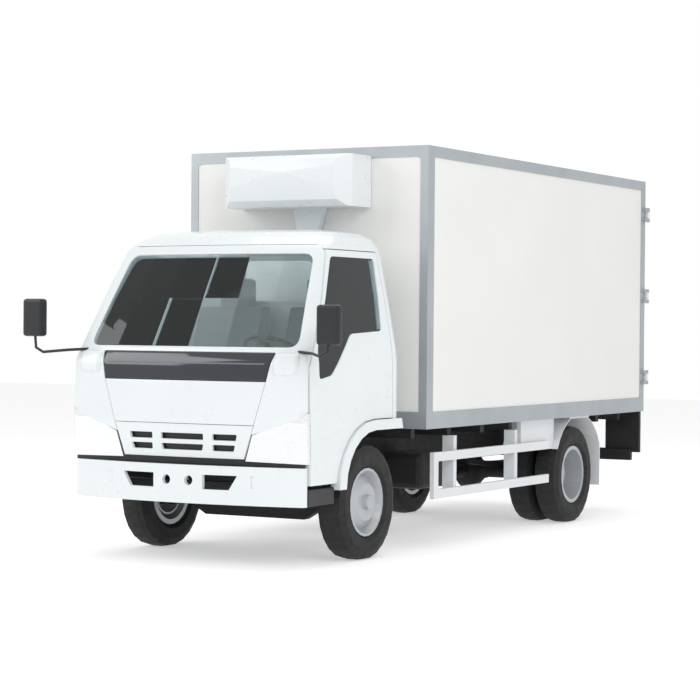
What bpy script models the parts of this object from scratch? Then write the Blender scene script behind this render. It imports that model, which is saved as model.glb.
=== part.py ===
"""Light cab-over refrigerated lorry: ladder chassis, tilting cab, insulated box body, nose-mounted
cooling unit. Metres, +Z up, the truck faces -Y and its left (driver's) side is +X. Heights are
above the ground. A name that ends in _D is a distance behind the front axle."""

import bmesh
import bpy
import numpy as np
from math import cos, pi, radians, sin
from mathutils import Matrix, Vector

# Clearances
TOUCH = 0.0003
SHUT_GAP = 0.006
RUNNING_GAP = 0.001

# Wheels
WHEELBASE = 3.36
TYRE_RADIUS = 0.386
TYRE_WIDTH = 0.205
TYRE_SIDES = 24
RIM_RADIUS = 0.229
BEAD_RADIUS = 0.205
RIM_HALF_WIDTH = 0.080
FRONT_WHEEL_X = 0.790
REAR_WHEEL_X = 0.7275
TWIN_SPACING = 0.235
SPINDLE_RADIUS = 0.030
REAR_SPINDLE_RADIUS = 0.036
KINGPIN_X = 0.700
KINGPIN_RADIUS = 0.018

# Chassis
RAIL_X = 0.350
RAIL_FLANGE = 0.060
RAIL_BOTTOM = 0.530
RAIL_TOP = 0.710
RAIL_WALL = 0.007
RAIL_FRONT_D = -0.745
SILL_TOP = 0.790
GEARBOX_REAR_D = 1.000
FENDER_PANEL_D = 2.400

# Cab
CAB_WALL = 0.045
CAB_REAR_D = 0.355
CAB_HALF_WIDTH = 0.920
CAB_LOWER_Z = 0.540
FRONT_LOWER_Z = 0.705
DRIP_Z = 2.110
ROOF_Z = 2.220
FLOOR_TOP = 0.765
FLOOR_THICKNESS = 0.030
DECK_TOP = 0.950
DECK_FRONT_D = -0.400
GLASS = 0.006
GLASS_INSET = 0.008
TILT_D = -0.885
TILT_Z = 0.690
DOOR_HINGE_X = 0.926
DOOR_HINGE_D = -0.882

# Bumper and steps
BUMPER_TOP = 0.660
BUMPER_BOTTOM = 0.410
BUMPER_HALF_WIDTH = 0.900
BUMPER_FRONT_D = -0.994
BUMPER_SETBACK = 0.104
BUMPER_CORNER = 0.038
BUMPER_WALL = 0.030
BUMPER_END_D = -0.847
STEP_FRONT_D = -0.832

# Insulated box body
BOX_FRONT_D = 0.640
BOX_LENGTH = 4.115
BOX_HALF_WIDTH = 0.987
BOX_BOTTOM = 0.855
BOX_TOP = 2.838
BOX_WALL = 0.080
BOX_SKIN = 0.005
BOTTOM_RAIL = 0.120
TOP_RAIL = 0.080
POST_SIDE = 0.100
POST_FRONT = 0.080
PORTAL_DEPTH = 0.090
CARGO_HINGE_STANDOFF = 0.022
LOCK_ROD_RADIUS = 0.013
LOCK_STANDOFF = 0.030

# Cooling unit
UNIT_HALF_WIDTH = 0.533
UNIT_DEPTH = 0.365
UNIT_BOTTOM = 2.410
UNIT_TOP = 2.775

# Mirrors
MIRROR_D = -1.015
MIRROR_X = 1.150
MIRROR_WIDTH = 0.165
MIRROR_DEPTH = 0.070
MIRROR_HEIGHT = 0.255
ARM_RADIUS = 0.010

# The origin is the middle of the overall length, mirrors to lock rods
BOX_REAR_D = BOX_FRONT_D + BOX_LENGTH
RAIL_REAR_D = BOX_REAR_D - 0.135
FRONT_REACH = -MIRROR_D + MIRROR_DEPTH / 2
REAR_REACH = BOX_REAR_D + LOCK_STANDOFF + 2 * LOCK_ROD_RADIUS
FRONT_AXLE_Y = (FRONT_REACH - REAR_REACH) / 2


def behind(distance):
    """The y of a place this far behind the front axle."""
    return FRONT_AXLE_Y + distance


# Name: colour, metallic, roughness
FINISHES = {
    "cab_white": ((0.85, 0.87, 0.87), 0.0, 0.25),
    "box_white": ((0.86, 0.86, 0.84), 0.0, 0.40),
    "aluminium": ((0.55, 0.57, 0.58), 1.0, 0.45),
    "wheel_silver": ((0.62, 0.63, 0.64), 0.9, 0.40),
    "chassis_black": ((0.02, 0.02, 0.02), 0.2, 0.60),
    "rubber": ((0.015, 0.015, 0.015), 0.0, 0.85),
    "black_plastic": ((0.02, 0.02, 0.025), 0.0, 0.50),
    "black_gloss": ((0.01, 0.012, 0.02), 0.0, 0.15),
    "lamp_lens": ((0.80, 0.82, 0.84), 0.2, 0.10),
    "glass": ((0.55, 0.70, 0.70), 0.0, 0.05),
    "cast_iron": ((0.09, 0.09, 0.09), 0.8, 0.60),
    "guard_white": ((0.82, 0.83, 0.84), 0.0, 0.35),
    "interior_grey": ((0.20, 0.23, 0.25), 0.0, 0.70),
    "seat_fabric": ((0.22, 0.26, 0.30), 0.0, 0.90),
}

for old in list(bpy.data.objects):
    bpy.data.objects.remove(old, do_unlink=True)

truck = bpy.data.collections.new("refrigerated_truck")
bpy.context.scene.collection.children.link(truck)
materials = {}


def material(name):
    if name not in materials:
        colour, metallic, roughness = FINISHES[name]
        made = bpy.data.materials.new(name)
        made.use_nodes = True
        shader = made.node_tree.nodes["Principled BSDF"]
        shader.inputs["Base Color"].default_value = (*colour, 1)
        shader.inputs["Metallic"].default_value = metallic
        shader.inputs["Roughness"].default_value = roughness
        materials[name] = made
    return materials[name]


def add(mesh, name="piece"):
    piece = bpy.data.objects.new(name, mesh)
    truck.objects.link(piece)
    return piece


def add_bmesh(form):
    bmesh.ops.recalc_face_normals(form, faces=form.faces)
    mesh = bpy.data.meshes.new("piece")
    form.to_mesh(mesh)
    form.free()
    return add(mesh)


def bake(piece, matrix=None, turn_out=False):
    """Applies the modifiers and welds what a curve or a cut leaves loose."""
    graph = bpy.context.evaluated_depsgraph_get()
    mesh = bpy.data.meshes.new_from_object(piece.evaluated_get(graph))
    if matrix is not None:
        mesh.transform(matrix)
    form = bmesh.new()
    form.from_mesh(mesh)
    bmesh.ops.remove_doubles(form, verts=form.verts, dist=0.00001)
    bmesh.ops.dissolve_degenerate(form, edges=form.edges, dist=0.00001)
    if turn_out:
        bmesh.ops.recalc_face_normals(form, faces=form.faces)
    form.to_mesh(mesh)
    form.free()
    if piece.type == "CURVE":
        bpy.data.objects.remove(piece)
        return add(mesh)
    piece.modifiers.clear()
    piece.data = mesh
    return piece


def boolean(body, tools, operation):
    for tool in tools:
        modifier = body.modifiers.new(operation.lower(), "BOOLEAN")
        modifier.operation = operation
        modifier.object = tool
        bake(body)
        bpy.data.objects.remove(tool)
    return body


def cut(body, *tools):
    return boolean(body, tools, "DIFFERENCE")


def fuse(body, *tools):
    return boolean(body, tools, "UNION")


def common(body, *tools):
    return boolean(body, tools, "INTERSECT")


def copy_of(piece):
    return add(piece.data.copy())


def mirrored(piece):
    """The same piece on the other side of the truck."""
    other = copy_of(piece)
    other.data.transform(Matrix.Scale(-1, 4, (1, 0, 0)))
    other.data.flip_normals()
    return other


def block(x, y, z, round_edges=0.0):
    """A box between two limits on each axis."""
    form = bmesh.new()
    bmesh.ops.create_cube(form, size=1)
    size = (x[1] - x[0], y[1] - y[0], z[1] - z[0])
    middle = ((x[0] + x[1]) / 2, (y[0] + y[1]) / 2, (z[0] + z[1]) / 2)
    bmesh.ops.scale(form, vec=size, verts=form.verts)
    bmesh.ops.translate(form, vec=middle, verts=form.verts)
    piece = add_bmesh(form)
    if round_edges:
        bevel = piece.modifiers.new("round_edges", "BEVEL")
        bevel.width = round_edges
        bevel.segments = 2
        bake(piece)
    return piece


ROUND_TO = {
    "X": Matrix.Rotation(pi / 2, 4, "Y"),
    "Y": Matrix.Rotation(-pi / 2, 4, "X"),
    "Z": Matrix.Identity(4),
}
FLAT_TO = {
    "X": Matrix(((0, 0, 1, 0), (1, 0, 0, 0), (0, 1, 0, 0), (0, 0, 0, 1))),
    "Y": Matrix(((1, 0, 0, 0), (0, 0, -1, 0), (0, 1, 0, 0), (0, 0, 0, 1))),
    "Z": Matrix.Identity(4),
}


def rod(axis, centre, radius, length, sides=16):
    """A cylinder about an axis of the truck, with its middle at the centre."""
    form = bmesh.new()
    bmesh.ops.create_cone(
        form, cap_ends=True, segments=sides, radius1=radius, radius2=radius, depth=length,
        matrix=Matrix.Translation(centre) @ ROUND_TO[axis],
    )
    return add_bmesh(form)


def flat(axis, outline, limits):
    """A flat outline made thick along an axis. It holds (y, z), (x, z) or (x, y) points."""
    curve = bpy.data.curves.new("outline", "CURVE")
    curve.dimensions = "2D"
    curve.fill_mode = "BOTH"
    curve.extrude = (limits[1] - limits[0]) / 2
    spline = curve.splines.new("POLY")
    spline.points.add(len(outline) - 1)
    for point, (u, v) in zip(spline.points, outline):
        point.co = (u, v, 0, 1)
    spline.use_cyclic_u = True
    middle = Vector((0, 0, 0))
    middle["XYZ".index(axis)] = (limits[0] + limits[1]) / 2
    return bake(add(curve), Matrix.Translation(middle) @ FLAT_TO[axis], turn_out=True)


def tube(points, radius, sides=2):
    """A round bar along a chain of points."""
    curve = bpy.data.curves.new("tube", "CURVE")
    curve.dimensions = "3D"
    curve.bevel_depth = radius
    curve.bevel_resolution = sides
    curve.use_fill_caps = True
    spline = curve.splines.new("POLY")
    spline.points.add(len(points) - 1)
    for point, place in zip(spline.points, points):
        point.co = (*place, 1)
    return bake(add(curve), turn_out=True)


def turned(profile, x, z, y, steps=TYRE_SIDES):
    """A closed (x, radius) profile turned about a wheel's axle, with a flat facet lowest."""
    form = bmesh.new()
    ring = [form.verts.new((u, 0, r)) for u, r in profile]
    for first, second in zip(ring, ring[1:] + ring[:1]):
        if first.co.z > 0 or second.co.z > 0:
            form.edges.new((first, second))
    piece = add_bmesh(form)
    screw = piece.modifiers.new("turn", "SCREW")
    screw.axis = "X"
    screw.steps = steps
    screw.render_steps = steps
    screw.use_merge_vertices = True
    screw.merge_threshold = 0.0001
    half_step = Matrix.Rotation(pi / steps, 4, "X")
    grow = 1 / cos(pi / steps)
    to_flats = Matrix.Diagonal((1, grow, grow, 1))
    return bake(piece, Matrix.Translation((x, y, z)) @ half_step @ to_flats, turn_out=True)


def rounded(outline, radius, steps=3):
    """The outline with each corner drawn as a curve that starts this far from it."""
    points = []
    for before, corner, after in zip(outline[-1:] + outline[:-1], outline, outline[1:] + outline[:1]):
        start = Vector(corner) + (Vector(before) - Vector(corner)).normalized() * radius
        end = Vector(corner) + (Vector(after) - Vector(corner)).normalized() * radius
        for step in range(steps + 1):
            t = step / steps
            place = start * (1 - t) ** 2 + Vector(corner) * 2 * t * (1 - t) + end * t ** 2
            points.append((place.x, place.y))
    return points


def grown(outline, by):
    """The outline moved outwards, or inwards where by is negative."""
    area = sum(a[0] * b[1] - b[0] * a[1] for a, b in zip(outline, outline[1:] + outline[:1]))
    side = by if area > 0 else -by
    points = []
    for before, corner, after in zip(outline[-1:] + outline[:-1], outline, outline[1:] + outline[:1]):
        first = (Vector(corner) - Vector(before)).normalized()
        second = (Vector(after) - Vector(corner)).normalized()
        normal = Vector((first.y + second.y, -first.x - second.x))
        normal /= 1 + first.dot(second)
        points.append((corner[0] + normal.x * side, corner[1] + normal.y * side))
    return points


def flipped(outline):
    """An outline in (x, z) or (x, y) on the other side of the truck."""
    return [(-u, v) for u, v in reversed(outline)]


def finish(piece, name, finish_name):
    """Names a sub-part, gives it its material and shades its round faces smooth."""
    piece.name = name
    piece.data.name = name
    piece.data.materials.clear()
    piece.data.materials.append(material(finish_name))
    piece.data.shade_smooth()
    piece.data.set_sharp_from_angle(angle=radians(32))
    return piece


# Cab body sections. Columns: height, half width, front and rear as distances behind the front
# axle, how far the front face falls back at its corners, corner radius.
CAB_SECTIONS = (
    (CAB_LOWER_Z, 0.918, -0.930, CAB_REAR_D, 0.050, 0.035),
    (0.720, CAB_HALF_WIDTH, -0.938, CAB_REAR_D, 0.050, 0.035),
    (0.950, CAB_HALF_WIDTH, -0.952, CAB_REAR_D, 0.050, 0.035),
    (1.210, CAB_HALF_WIDTH, -0.952, CAB_REAR_D, 0.050, 0.035),
    (1.330, CAB_HALF_WIDTH, -0.940, CAB_REAR_D, 0.050, 0.040),
    (1.420, 0.912, -0.895, CAB_REAR_D - 0.003, 0.060, 0.045),
    (1.750, 0.866, -0.710, CAB_REAR_D - 0.035, 0.062, 0.050),
    (2.060, 0.812, -0.530, CAB_REAR_D - 0.060, 0.065, 0.055),
    (DRIP_Z, 0.796, -0.490, CAB_REAR_D - 0.068, 0.068, 0.060),
    (2.165, 0.755, -0.425, CAB_REAR_D - 0.090, 0.080, 0.100),
    (2.200, 0.690, -0.340, CAB_REAR_D - 0.130, 0.080, 0.110),
    (ROOF_Z, 0.560, -0.220, CAB_REAR_D - 0.210, 0.060, 0.120),
)
REAR_CORNER = 0.045


def cab_ring(section, inset):
    """One section of the cab, drawn from the middle of the front round to the left and back."""
    z, half_width, front, rear, setback, radius = section
    width = half_width - inset
    corner = max(radius - inset, 0.012)
    rear_corner = max(REAR_CORNER - inset, 0.012)
    half = []
    for step in range(4):
        x = (width - corner) * step / 3
        half.append((x, front + inset + setback * (step / 3) ** 2))
    for step in range(1, 5):
        turn = radians(90) * step / 4
        half.append((width - corner + corner * sin(turn), front + inset + setback + corner * (1 - cos(turn))))
    for step in range(4):
        turn = radians(90) * step / 3
        half.append((width - rear_corner + rear_corner * cos(turn), rear - inset - rear_corner * (1 - sin(turn))))
    half.append((0, rear - inset))
    height = z - inset if z > DRIP_Z - 0.06 else z
    right = [(-x, y) for x, y in reversed(half[1:-1])]
    return [(x, behind(y), height) for x, y in half + right]


def cab_loft(inset, lowest=None):
    """The cab's outer surface moved in by the inset, as one closed solid."""
    form = bmesh.new()
    rings = []
    for section in CAB_SECTIONS:
        ring = cab_ring(section, inset)
        if lowest is not None and section is CAB_SECTIONS[0]:
            ring = [(x, y, lowest) for x, y, z in ring]
        rings.append([form.verts.new(place) for place in ring])
    for lower, upper in zip(rings, rings[1:]):
        for i in range(len(lower)):
            j = (i + 1) % len(lower)
            form.faces.new((lower[i], lower[j], upper[j], upper[i]))
    form.faces.new(rings[-1])
    form.faces.new(rings[0])
    bmesh.ops.triangulate(form, faces=form.faces)
    return add_bmesh(form)


# Outlines on the cab. Side outlines hold (y, z) and front outlines hold (x, z).

# The front wheel arch is two half ellipses. Columns: half length, height above the arch's foot.
ARCH_FOOT_Z = 0.500
ARCH_INNER = (0.400, 0.374)
ARCH_OUTER = (0.490, 0.443)
ARCH_REAR_D = 0.385
FLARE_X = 0.940
DOOR_REAR_D = 0.270
DOOR_TOP = 2.080
DOOR_LEAN = 0.060
INNER_X = CAB_HALF_WIDTH - CAB_WALL
FLOOR_X = INNER_X - SHUT_GAP

# The seam ahead of the door. Columns: height, distance behind the front axle.
DOOR_SEAM = ((CAB_LOWER_Z, -0.838), (1.310, -0.866), (1.420, -0.802), (1.710, -0.640), (DRIP_Z, -0.425))


def seam_d(z):
    heights, places = zip(*DOOR_SEAM)
    return float(np.interp(z, heights, places))


def arch_points(size, steps=7):
    """A quarter ellipse from the foot of the arch at the front up to the axle's middle."""
    turns = [radians(90) * step / (steps - 1) for step in range(steps)]
    return [(behind(-size[0] * cos(turn)), ARCH_FOOT_Z + size[1] * sin(turn)) for turn in turns]


def door_outline(shrink):
    """The door's edge seen from the side, moved in by shrink."""
    arch = arch_points(ARCH_OUTER)
    outline = [(behind(seam_d(CAB_LOWER_Z)), CAB_LOWER_Z), (arch[0][0], CAB_LOWER_Z)]
    outline += arch[1:]
    outline += [
        (behind(DOOR_REAR_D), arch[-1][1]),
        (behind(DOOR_REAR_D - 0.010), 1.500),
        (behind(DOOR_REAR_D - DOOR_LEAN), DOOR_TOP),
    ]
    outline += [(behind(seam_d(z)), z) for z in (DOOR_TOP, 1.710, 1.420, 1.310)]
    return grown(outline, -shrink)


def side_line(inset):
    """The cab's side seen from the front, moved in by the inset, from below the sill up."""
    line = [(half_width - inset, z) for z, half_width, *_ in CAB_SECTIONS if z <= DRIP_Z]
    return [(line[0][0], 0.310), *line, (line[-1][0], DRIP_Z + 0.050)]


def window_outline(shrink):
    """The door's window: a sloping front edge, and a lower edge that steps down forwards."""
    outline = [
        (behind(-0.735), 1.225),
        (behind(-0.570), 1.250),
        (behind(-0.285), 1.520),
        (behind(0.145), 1.540),
        (behind(0.165), 2.030),
        (behind(-0.430), 2.030),
        (behind(-0.595), 1.710),
        (behind(-0.750), 1.420),
    ]
    return rounded(grown(outline, -shrink), 0.030)


def symmetric(half):
    """A closed front outline from its points on the left, from the bottom up."""
    return half + [(-x, z) for x, z in reversed(half)]


COWL_BOTTOM = 1.210
COWL_TOP = 1.395
LID_BOTTOM = 0.925
WINDSCREEN = ((0.818, COWL_TOP + 0.037), (0.722, DRIP_Z - 0.058))


def windscreen_outline(shrink):
    return rounded(grown(symmetric(list(WINDSCREEN)), -shrink), 0.055)


def rear_window_outline(shrink):
    corners = symmetric([(0.288, 1.742), (0.288, 2.026)])
    return rounded(grown(corners, -shrink), 0.050)


# The lid, the grille and the black cowl share this edge. Columns: height, half width.
FACE_EDGE = ((FRONT_LOWER_Z, 0.467), (LID_BOTTOM, 0.542), (COWL_BOTTOM, 0.629), (COWL_TOP, 0.670))


def face_edge(z):
    heights, widths = zip(*FACE_EDGE)
    return float(np.interp(z, heights, widths))


def face_outline(low, high, shrink):
    """A panel in the middle of the face, between two heights."""
    heights = [low] + [z for z, _ in FACE_EDGE if low < z < high] + [high]
    return grown(symmetric([(face_edge(z), z) for z in heights]), -shrink)


def lamp_outline(shrink):
    """A headlamp's opening, from the grille's edge out round the corner."""
    outline = [
        (face_edge(0.70) + 0.012, FRONT_LOWER_Z - 0.012),
        (FLARE_X, FRONT_LOWER_Z - 0.020),
        (FLARE_X, 1.020),
        (face_edge(0.86) + 0.012, 0.862),
    ]
    return grown(outline, -shrink)


BEFORE_FACE = behind(-1.200)
BEHIND_FACE = behind(-0.700)
BEHIND_CAB = behind(0.500)
FACE_CUT = (BEFORE_FACE, BEHIND_FACE)
SIDE_CUT = (0.550, 1.050)
WIDE = (-1.100, 1.100)

# How far inwards of the cab's side its side panels meet the front and the back
PANEL_SEAM = 0.085
PILLAR_REAR_D = -0.200


def front_zone(offset):
    """All of the cab that lies ahead of the doors' front seam."""
    edge = [(behind(d) + offset, z) for z, d in DOOR_SEAM]
    return flat("X", [(BEFORE_FACE, 0.300), (edge[0][0], 0.300), *edge, (BEFORE_FACE, DRIP_Z)], WIDE)


def roof_zone(height):
    return block(WIDE, (BEFORE_FACE, BEHIND_CAB), (height, ROOF_Z + 0.100))


def middle_zone(limits, wider=0.0):
    """The cab between the seams of its two side panels."""
    line = side_line(PANEL_SEAM - wider)
    return flat("Y", line + flipped(line), limits)


def build_cab_front(shell):
    """Corners, A-pillars and windscreen header, one pressing that is open in the middle. The
    pillars reach inwards of the doors behind the doors' front seam."""
    inner = middle_zone((BEFORE_FACE + 0.050, behind(PILLAR_REAR_D)))
    front = common(copy_of(shell), fuse(front_zone(0.0), inner))
    cut(front, roof_zone(DRIP_Z))
    cut(front, block(WIDE, FACE_CUT, (0.300, FRONT_LOWER_Z)))
    cut(front, flat("Y", windscreen_outline(0.0), (BEFORE_FACE, behind(-0.200))))
    cut(front, flat("Y", face_outline(FRONT_LOWER_Z - 0.100, COWL_TOP, 0.0), FACE_CUT))
    for outline in (lamp_outline(0.0), flipped(lamp_outline(0.0))):
        cut(front, flat("Y", outline, (BEFORE_FACE, behind(-0.500))))
    finish(front, "cab_front", "cab_white")


# The grille's slots. Columns: inner x, outer x, height of the slot's bottom and top, how far
# the outer end leans in at the bottom.
GRILLE_SLOTS = (
    (-0.165, 0.165, 0.822, 0.862, 0.000),
    (-0.165, 0.165, 0.752, 0.792, 0.000),
    (0.235, 0.420, 0.822, 0.862, 0.010),
    (0.235, 0.405, 0.752, 0.792, 0.012),
)


def build_face(shell):
    """The black strip below the windscreen, the lid with its grille, and the headlamps."""
    centre = common(copy_of(shell), block(WIDE, FACE_CUT, (FRONT_LOWER_Z, COWL_TOP)))
    strip = flat("Y", face_outline(COWL_BOTTOM + TOUCH, COWL_TOP, TOUCH), FACE_CUT)
    finish(common(copy_of(centre), strip), "cowl_panel", "black_gloss")
    panel = common(centre, flat("Y", face_outline(FRONT_LOWER_Z, COWL_BOTTOM, TOUCH), FACE_CUT))
    for inner, outer, bottom, top, lean in GRILLE_SLOTS:
        slot = [(inner, bottom), (outer - lean, bottom), (outer, top), (inner, top)]
        cut(panel, flat("Y", slot, FACE_CUT))
        if inner > 0:
            cut(panel, flat("Y", flipped(slot), FACE_CUT))
    finish(panel, "front_panel", "cab_white")

    lamp = common(copy_of(shell), flat("Y", lamp_outline(TOUCH), FACE_CUT), front_zone(0.0))
    other = mirrored(lamp)
    finish(lamp, "headlamp_left", "lamp_lens")
    finish(other, "headlamp_right", "lamp_lens")


def build_cab_back(shell):
    """The back wall, and on each side a B-pillar with the roof rail and the front arch's edge."""
    rear = cut(copy_of(shell), front_zone(TOUCH), roof_zone(DRIP_Z))
    below = [(BEFORE_FACE, 0.300), (BEHIND_CAB, 0.300), (BEHIND_CAB, 0.900), (BEFORE_FACE, 0.900)]
    cut(rear, flat("X", below, WIDE))
    back = common(copy_of(rear), middle_zone((behind(PILLAR_REAR_D) + TOUCH, BEHIND_CAB)))
    cut(back, flat("Y", rear_window_outline(0.0), (behind(0.100), BEHIND_CAB)))
    finish(back, "cab_back", "cab_white")

    side = cut(rear, middle_zone((BEFORE_FACE + 0.050, BEHIND_CAB + 0.050), TOUCH))
    common(side, block(SIDE_CUT, (BEFORE_FACE, BEHIND_CAB), (0.300, ROOF_Z)))
    cut(side, flat("X", door_outline(0.0), SIDE_CUT))
    inner, outer = arch_points(ARCH_INNER), arch_points(ARCH_OUTER)
    level = [(behind(ARCH_REAR_D), inner[-1][1]), (behind(ARCH_REAR_D - 0.02), outer[-1][1])]
    fuse(side, flat("X", inner + level + outer[::-1], (FLOOR_X + TOUCH, FLARE_X)))
    other = mirrored(side)
    finish(side, "cab_side_left", "cab_white")
    finish(other, "cab_side_right", "cab_white")


def build_glass():
    sheet = cut(cab_loft(GLASS_INSET), cab_loft(GLASS_INSET + GLASS, lowest=0.400))
    front = flat("Y", windscreen_outline(TOUCH), (BEFORE_FACE, behind(-0.200)))
    finish(common(copy_of(sheet), front), "windscreen", "glass")
    back = flat("Y", rear_window_outline(TOUCH), (behind(0.100), BEHIND_CAB))
    finish(common(copy_of(sheet), back), "rear_window", "glass")
    pane = common(sheet, flat("X", window_outline(TOUCH), SIDE_CUT))
    other = mirrored(pane)
    finish(pane, "door_glass_left", "glass")
    finish(other, "door_glass_right", "glass")


def build_doors(shell):
    line = side_line(CAB_WALL + 0.001)
    beyond = [(SIDE_CUT[1], line[-1][1]), (SIDE_CUT[1], line[0][1])]
    wall = flat("Y", line + beyond, (BEFORE_FACE, BEHIND_CAB))
    door = common(copy_of(shell), flat("X", door_outline(SHUT_GAP), SIDE_CUT), wall)
    cut(door, flat("X", window_outline(0.0), SIDE_CUT))
    other = mirrored(door)
    finish(door, "door_left", "cab_white")
    finish(other, "door_right", "cab_white")


BULKHEAD_D = -0.815
BULKHEAD_TOP = 1.300
DECK_THICKNESS = 0.030


def build_cab_floor():
    """Bulkhead, foot floor, riser and the raised deck over the engine and the front wheels."""
    low = FLOOR_TOP - FLOOR_THICKNESS
    deck = DECK_TOP - DECK_THICKNESS
    section = [
        (behind(-1.0), low),
        (behind(DECK_FRONT_D + 0.030), low),
        (behind(DECK_FRONT_D + 0.030), deck),
        (BEHIND_CAB, deck),
        (BEHIND_CAB, DECK_TOP),
        (behind(DECK_FRONT_D), DECK_TOP),
        (behind(DECK_FRONT_D), FLOOR_TOP),
        (behind(BULKHEAD_D), FLOOR_TOP),
        (behind(BULKHEAD_D), BULKHEAD_TOP),
        (behind(-1.0), BULKHEAD_TOP),
    ]
    floor = flat("X", section, (-FLOOR_X, FLOOR_X))
    common(floor, cab_loft(CAB_WALL + TOUCH, lowest=0.400))
    for side in (1, -1):
        x = sorted((side * HINGE_LUG_X[0], side * HINGE_LUG_X[1]))
        lug = block(x, (behind(TILT_D) - 0.003, behind(TILT_D) + 0.030), (TILT_Z, low + 0.010))
        centre = ((x[0] + x[1]) / 2, behind(TILT_D), TILT_Z)
        fuse(lug, rod("X", centre, HINGE_BOSS_RADIUS, x[1] - x[0], 16))
        cut(lug, rod("X", centre, HINGE_PIN_RADIUS + RUNNING_GAP, 0.080, 12))
        fuse(floor, lug)
    finish(floor, "cab_floor", "interior_grey")


WHEEL_CENTRE = Vector((0.400, behind(-0.440), 1.400))
COLUMN_TILT = radians(28)
STEERING_WHEEL_RADIUS = 0.205
HUB_DEPTH = 0.055
COLUMN = Vector((0, -sin(COLUMN_TILT), -cos(COLUMN_TILT)))


def build_dashboard():
    section = [
        (behind(BULKHEAD_D) + TOUCH, 1.080),
        (behind(-0.560), 1.040),
        (behind(-0.525), 1.140),
        (behind(-0.520), 1.300),
        (behind(-0.600), 1.385),
        (behind(-0.780), 1.400),
        (behind(BULKHEAD_D) + TOUCH, 1.400),
    ]
    dash = flat("X", section, (-0.800, 0.800))
    start = WHEEL_CENTRE + COLUMN * (HUB_DEPTH + TOUCH)
    fuse(dash, tube([start, start + COLUMN * 0.260], 0.028))
    common(dash, cab_loft(CAB_WALL + TOUCH, lowest=0.400))
    finish(dash, "dashboard", "interior_grey")


def build_steering_wheel():
    turn = Matrix.Translation(WHEEL_CENTRE) @ Matrix.Rotation(-COLUMN_TILT, 4, "X")
    ring = [(STEERING_WHEEL_RADIUS * cos(a), STEERING_WHEEL_RADIUS * sin(a)) for a in
            [2 * pi * step / 24 for step in range(24)]]
    curve = bpy.data.curves.new("rim", "CURVE")
    curve.dimensions = "3D"
    curve.bevel_depth = 0.014
    curve.bevel_resolution = 1
    spline = curve.splines.new("POLY")
    spline.points.add(len(ring) - 1)
    for point, (x, y) in zip(spline.points, ring):
        point.co = (x, y, 0, 1)
    spline.use_cyclic_u = True
    wheel = bake(add(curve), turn, turn_out=True)
    hub = rod("Z", (0, 0, 0.005 - HUB_DEPTH / 2), 0.050, HUB_DEPTH + 0.010, 16)
    for degrees in (0, 180, 270):
        angle = radians(degrees)
        spoke = block((0, STEERING_WHEEL_RADIUS), (-0.018, 0.018), (-0.016, -0.002))
        spoke.data.transform(Matrix.Rotation(angle, 4, "Z"))
        fuse(hub, spoke)
    hub.data.transform(turn)
    finish(fuse(wheel, hub), "steering_wheel", "black_plastic")


# The seats. Columns: name, lowest and highest x, the head rest's x.
SEATS = (("seat_driver", 0.190, 0.670, 0.430), ("seat_passenger", -0.560, -0.040, -0.275))
HEAD_WIDTH = 0.260
CUSHION_TOP = 1.200
BACKREST_TOP = 1.700
HEAD_TOP = 1.900


def build_seats():
    for name, low, high, head in SEATS:
        section = [
            (behind(-0.330), DECK_TOP + TOUCH),
            (behind(0.060), DECK_TOP + TOUCH),
            (behind(0.230), BACKREST_TOP),
            (behind(0.120), BACKREST_TOP),
            (behind(-0.040), CUSHION_TOP),
            (behind(-0.340), CUSHION_TOP + 0.010),
        ]
        seat = flat("X", rounded(section, 0.030), (low, high))
        x = (head - HEAD_WIDTH / 2, head + HEAD_WIDTH / 2)
        fuse(seat, block(x, (behind(0.130), behind(0.225)), (BACKREST_TOP - 0.030, HEAD_TOP), 0.030))
        finish(seat, name, "seat_fabric")


def build_mirror(side, head_low, name):
    """A head on a bent arm from the cab's front corner."""
    low, high = head_low, head_low + MIRROR_HEIGHT
    head = block(
        (MIRROR_X - MIRROR_WIDTH / 2, MIRROR_X + MIRROR_WIDTH / 2),
        (behind(MIRROR_D - MIRROR_DEPTH / 2), behind(MIRROR_D + MIRROR_DEPTH / 2)),
        (low, high), 0.020,
    )
    arm = tube(
        [
            (0.800, behind(-0.830), 1.405),
            (0.960, behind(-0.900), 1.395),
            (1.080, behind(MIRROR_D), 1.380),
            (MIRROR_X - 0.010, behind(MIRROR_D), 1.410),
            (MIRROR_X, behind(MIRROR_D), low + 0.030),
        ],
        ARM_RADIUS,
    )
    fuse(head, arm)
    cut(head, cab_loft(-TOUCH))
    if side < 0:
        head.data.transform(Matrix.Scale(-1, 4, (1, 0, 0)))
        head.data.flip_normals()
    finish(head, name, "black_plastic")


def build_cab():
    shell = cut(cab_loft(0.0), cab_loft(CAB_WALL, lowest=0.400))
    build_cab_front(shell)
    build_face(shell)
    build_cab_back(shell)
    build_doors(shell)
    build_glass()
    finish(common(shell, roof_zone(DRIP_Z + TOUCH)), "cab_roof", "cab_white")
    build_cab_floor()
    build_dashboard()
    build_steering_wheel()
    build_seats()
    build_mirror(1, 1.450, "mirror_left")
    build_mirror(-1, 1.485, "mirror_right")


# Chassis

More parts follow.
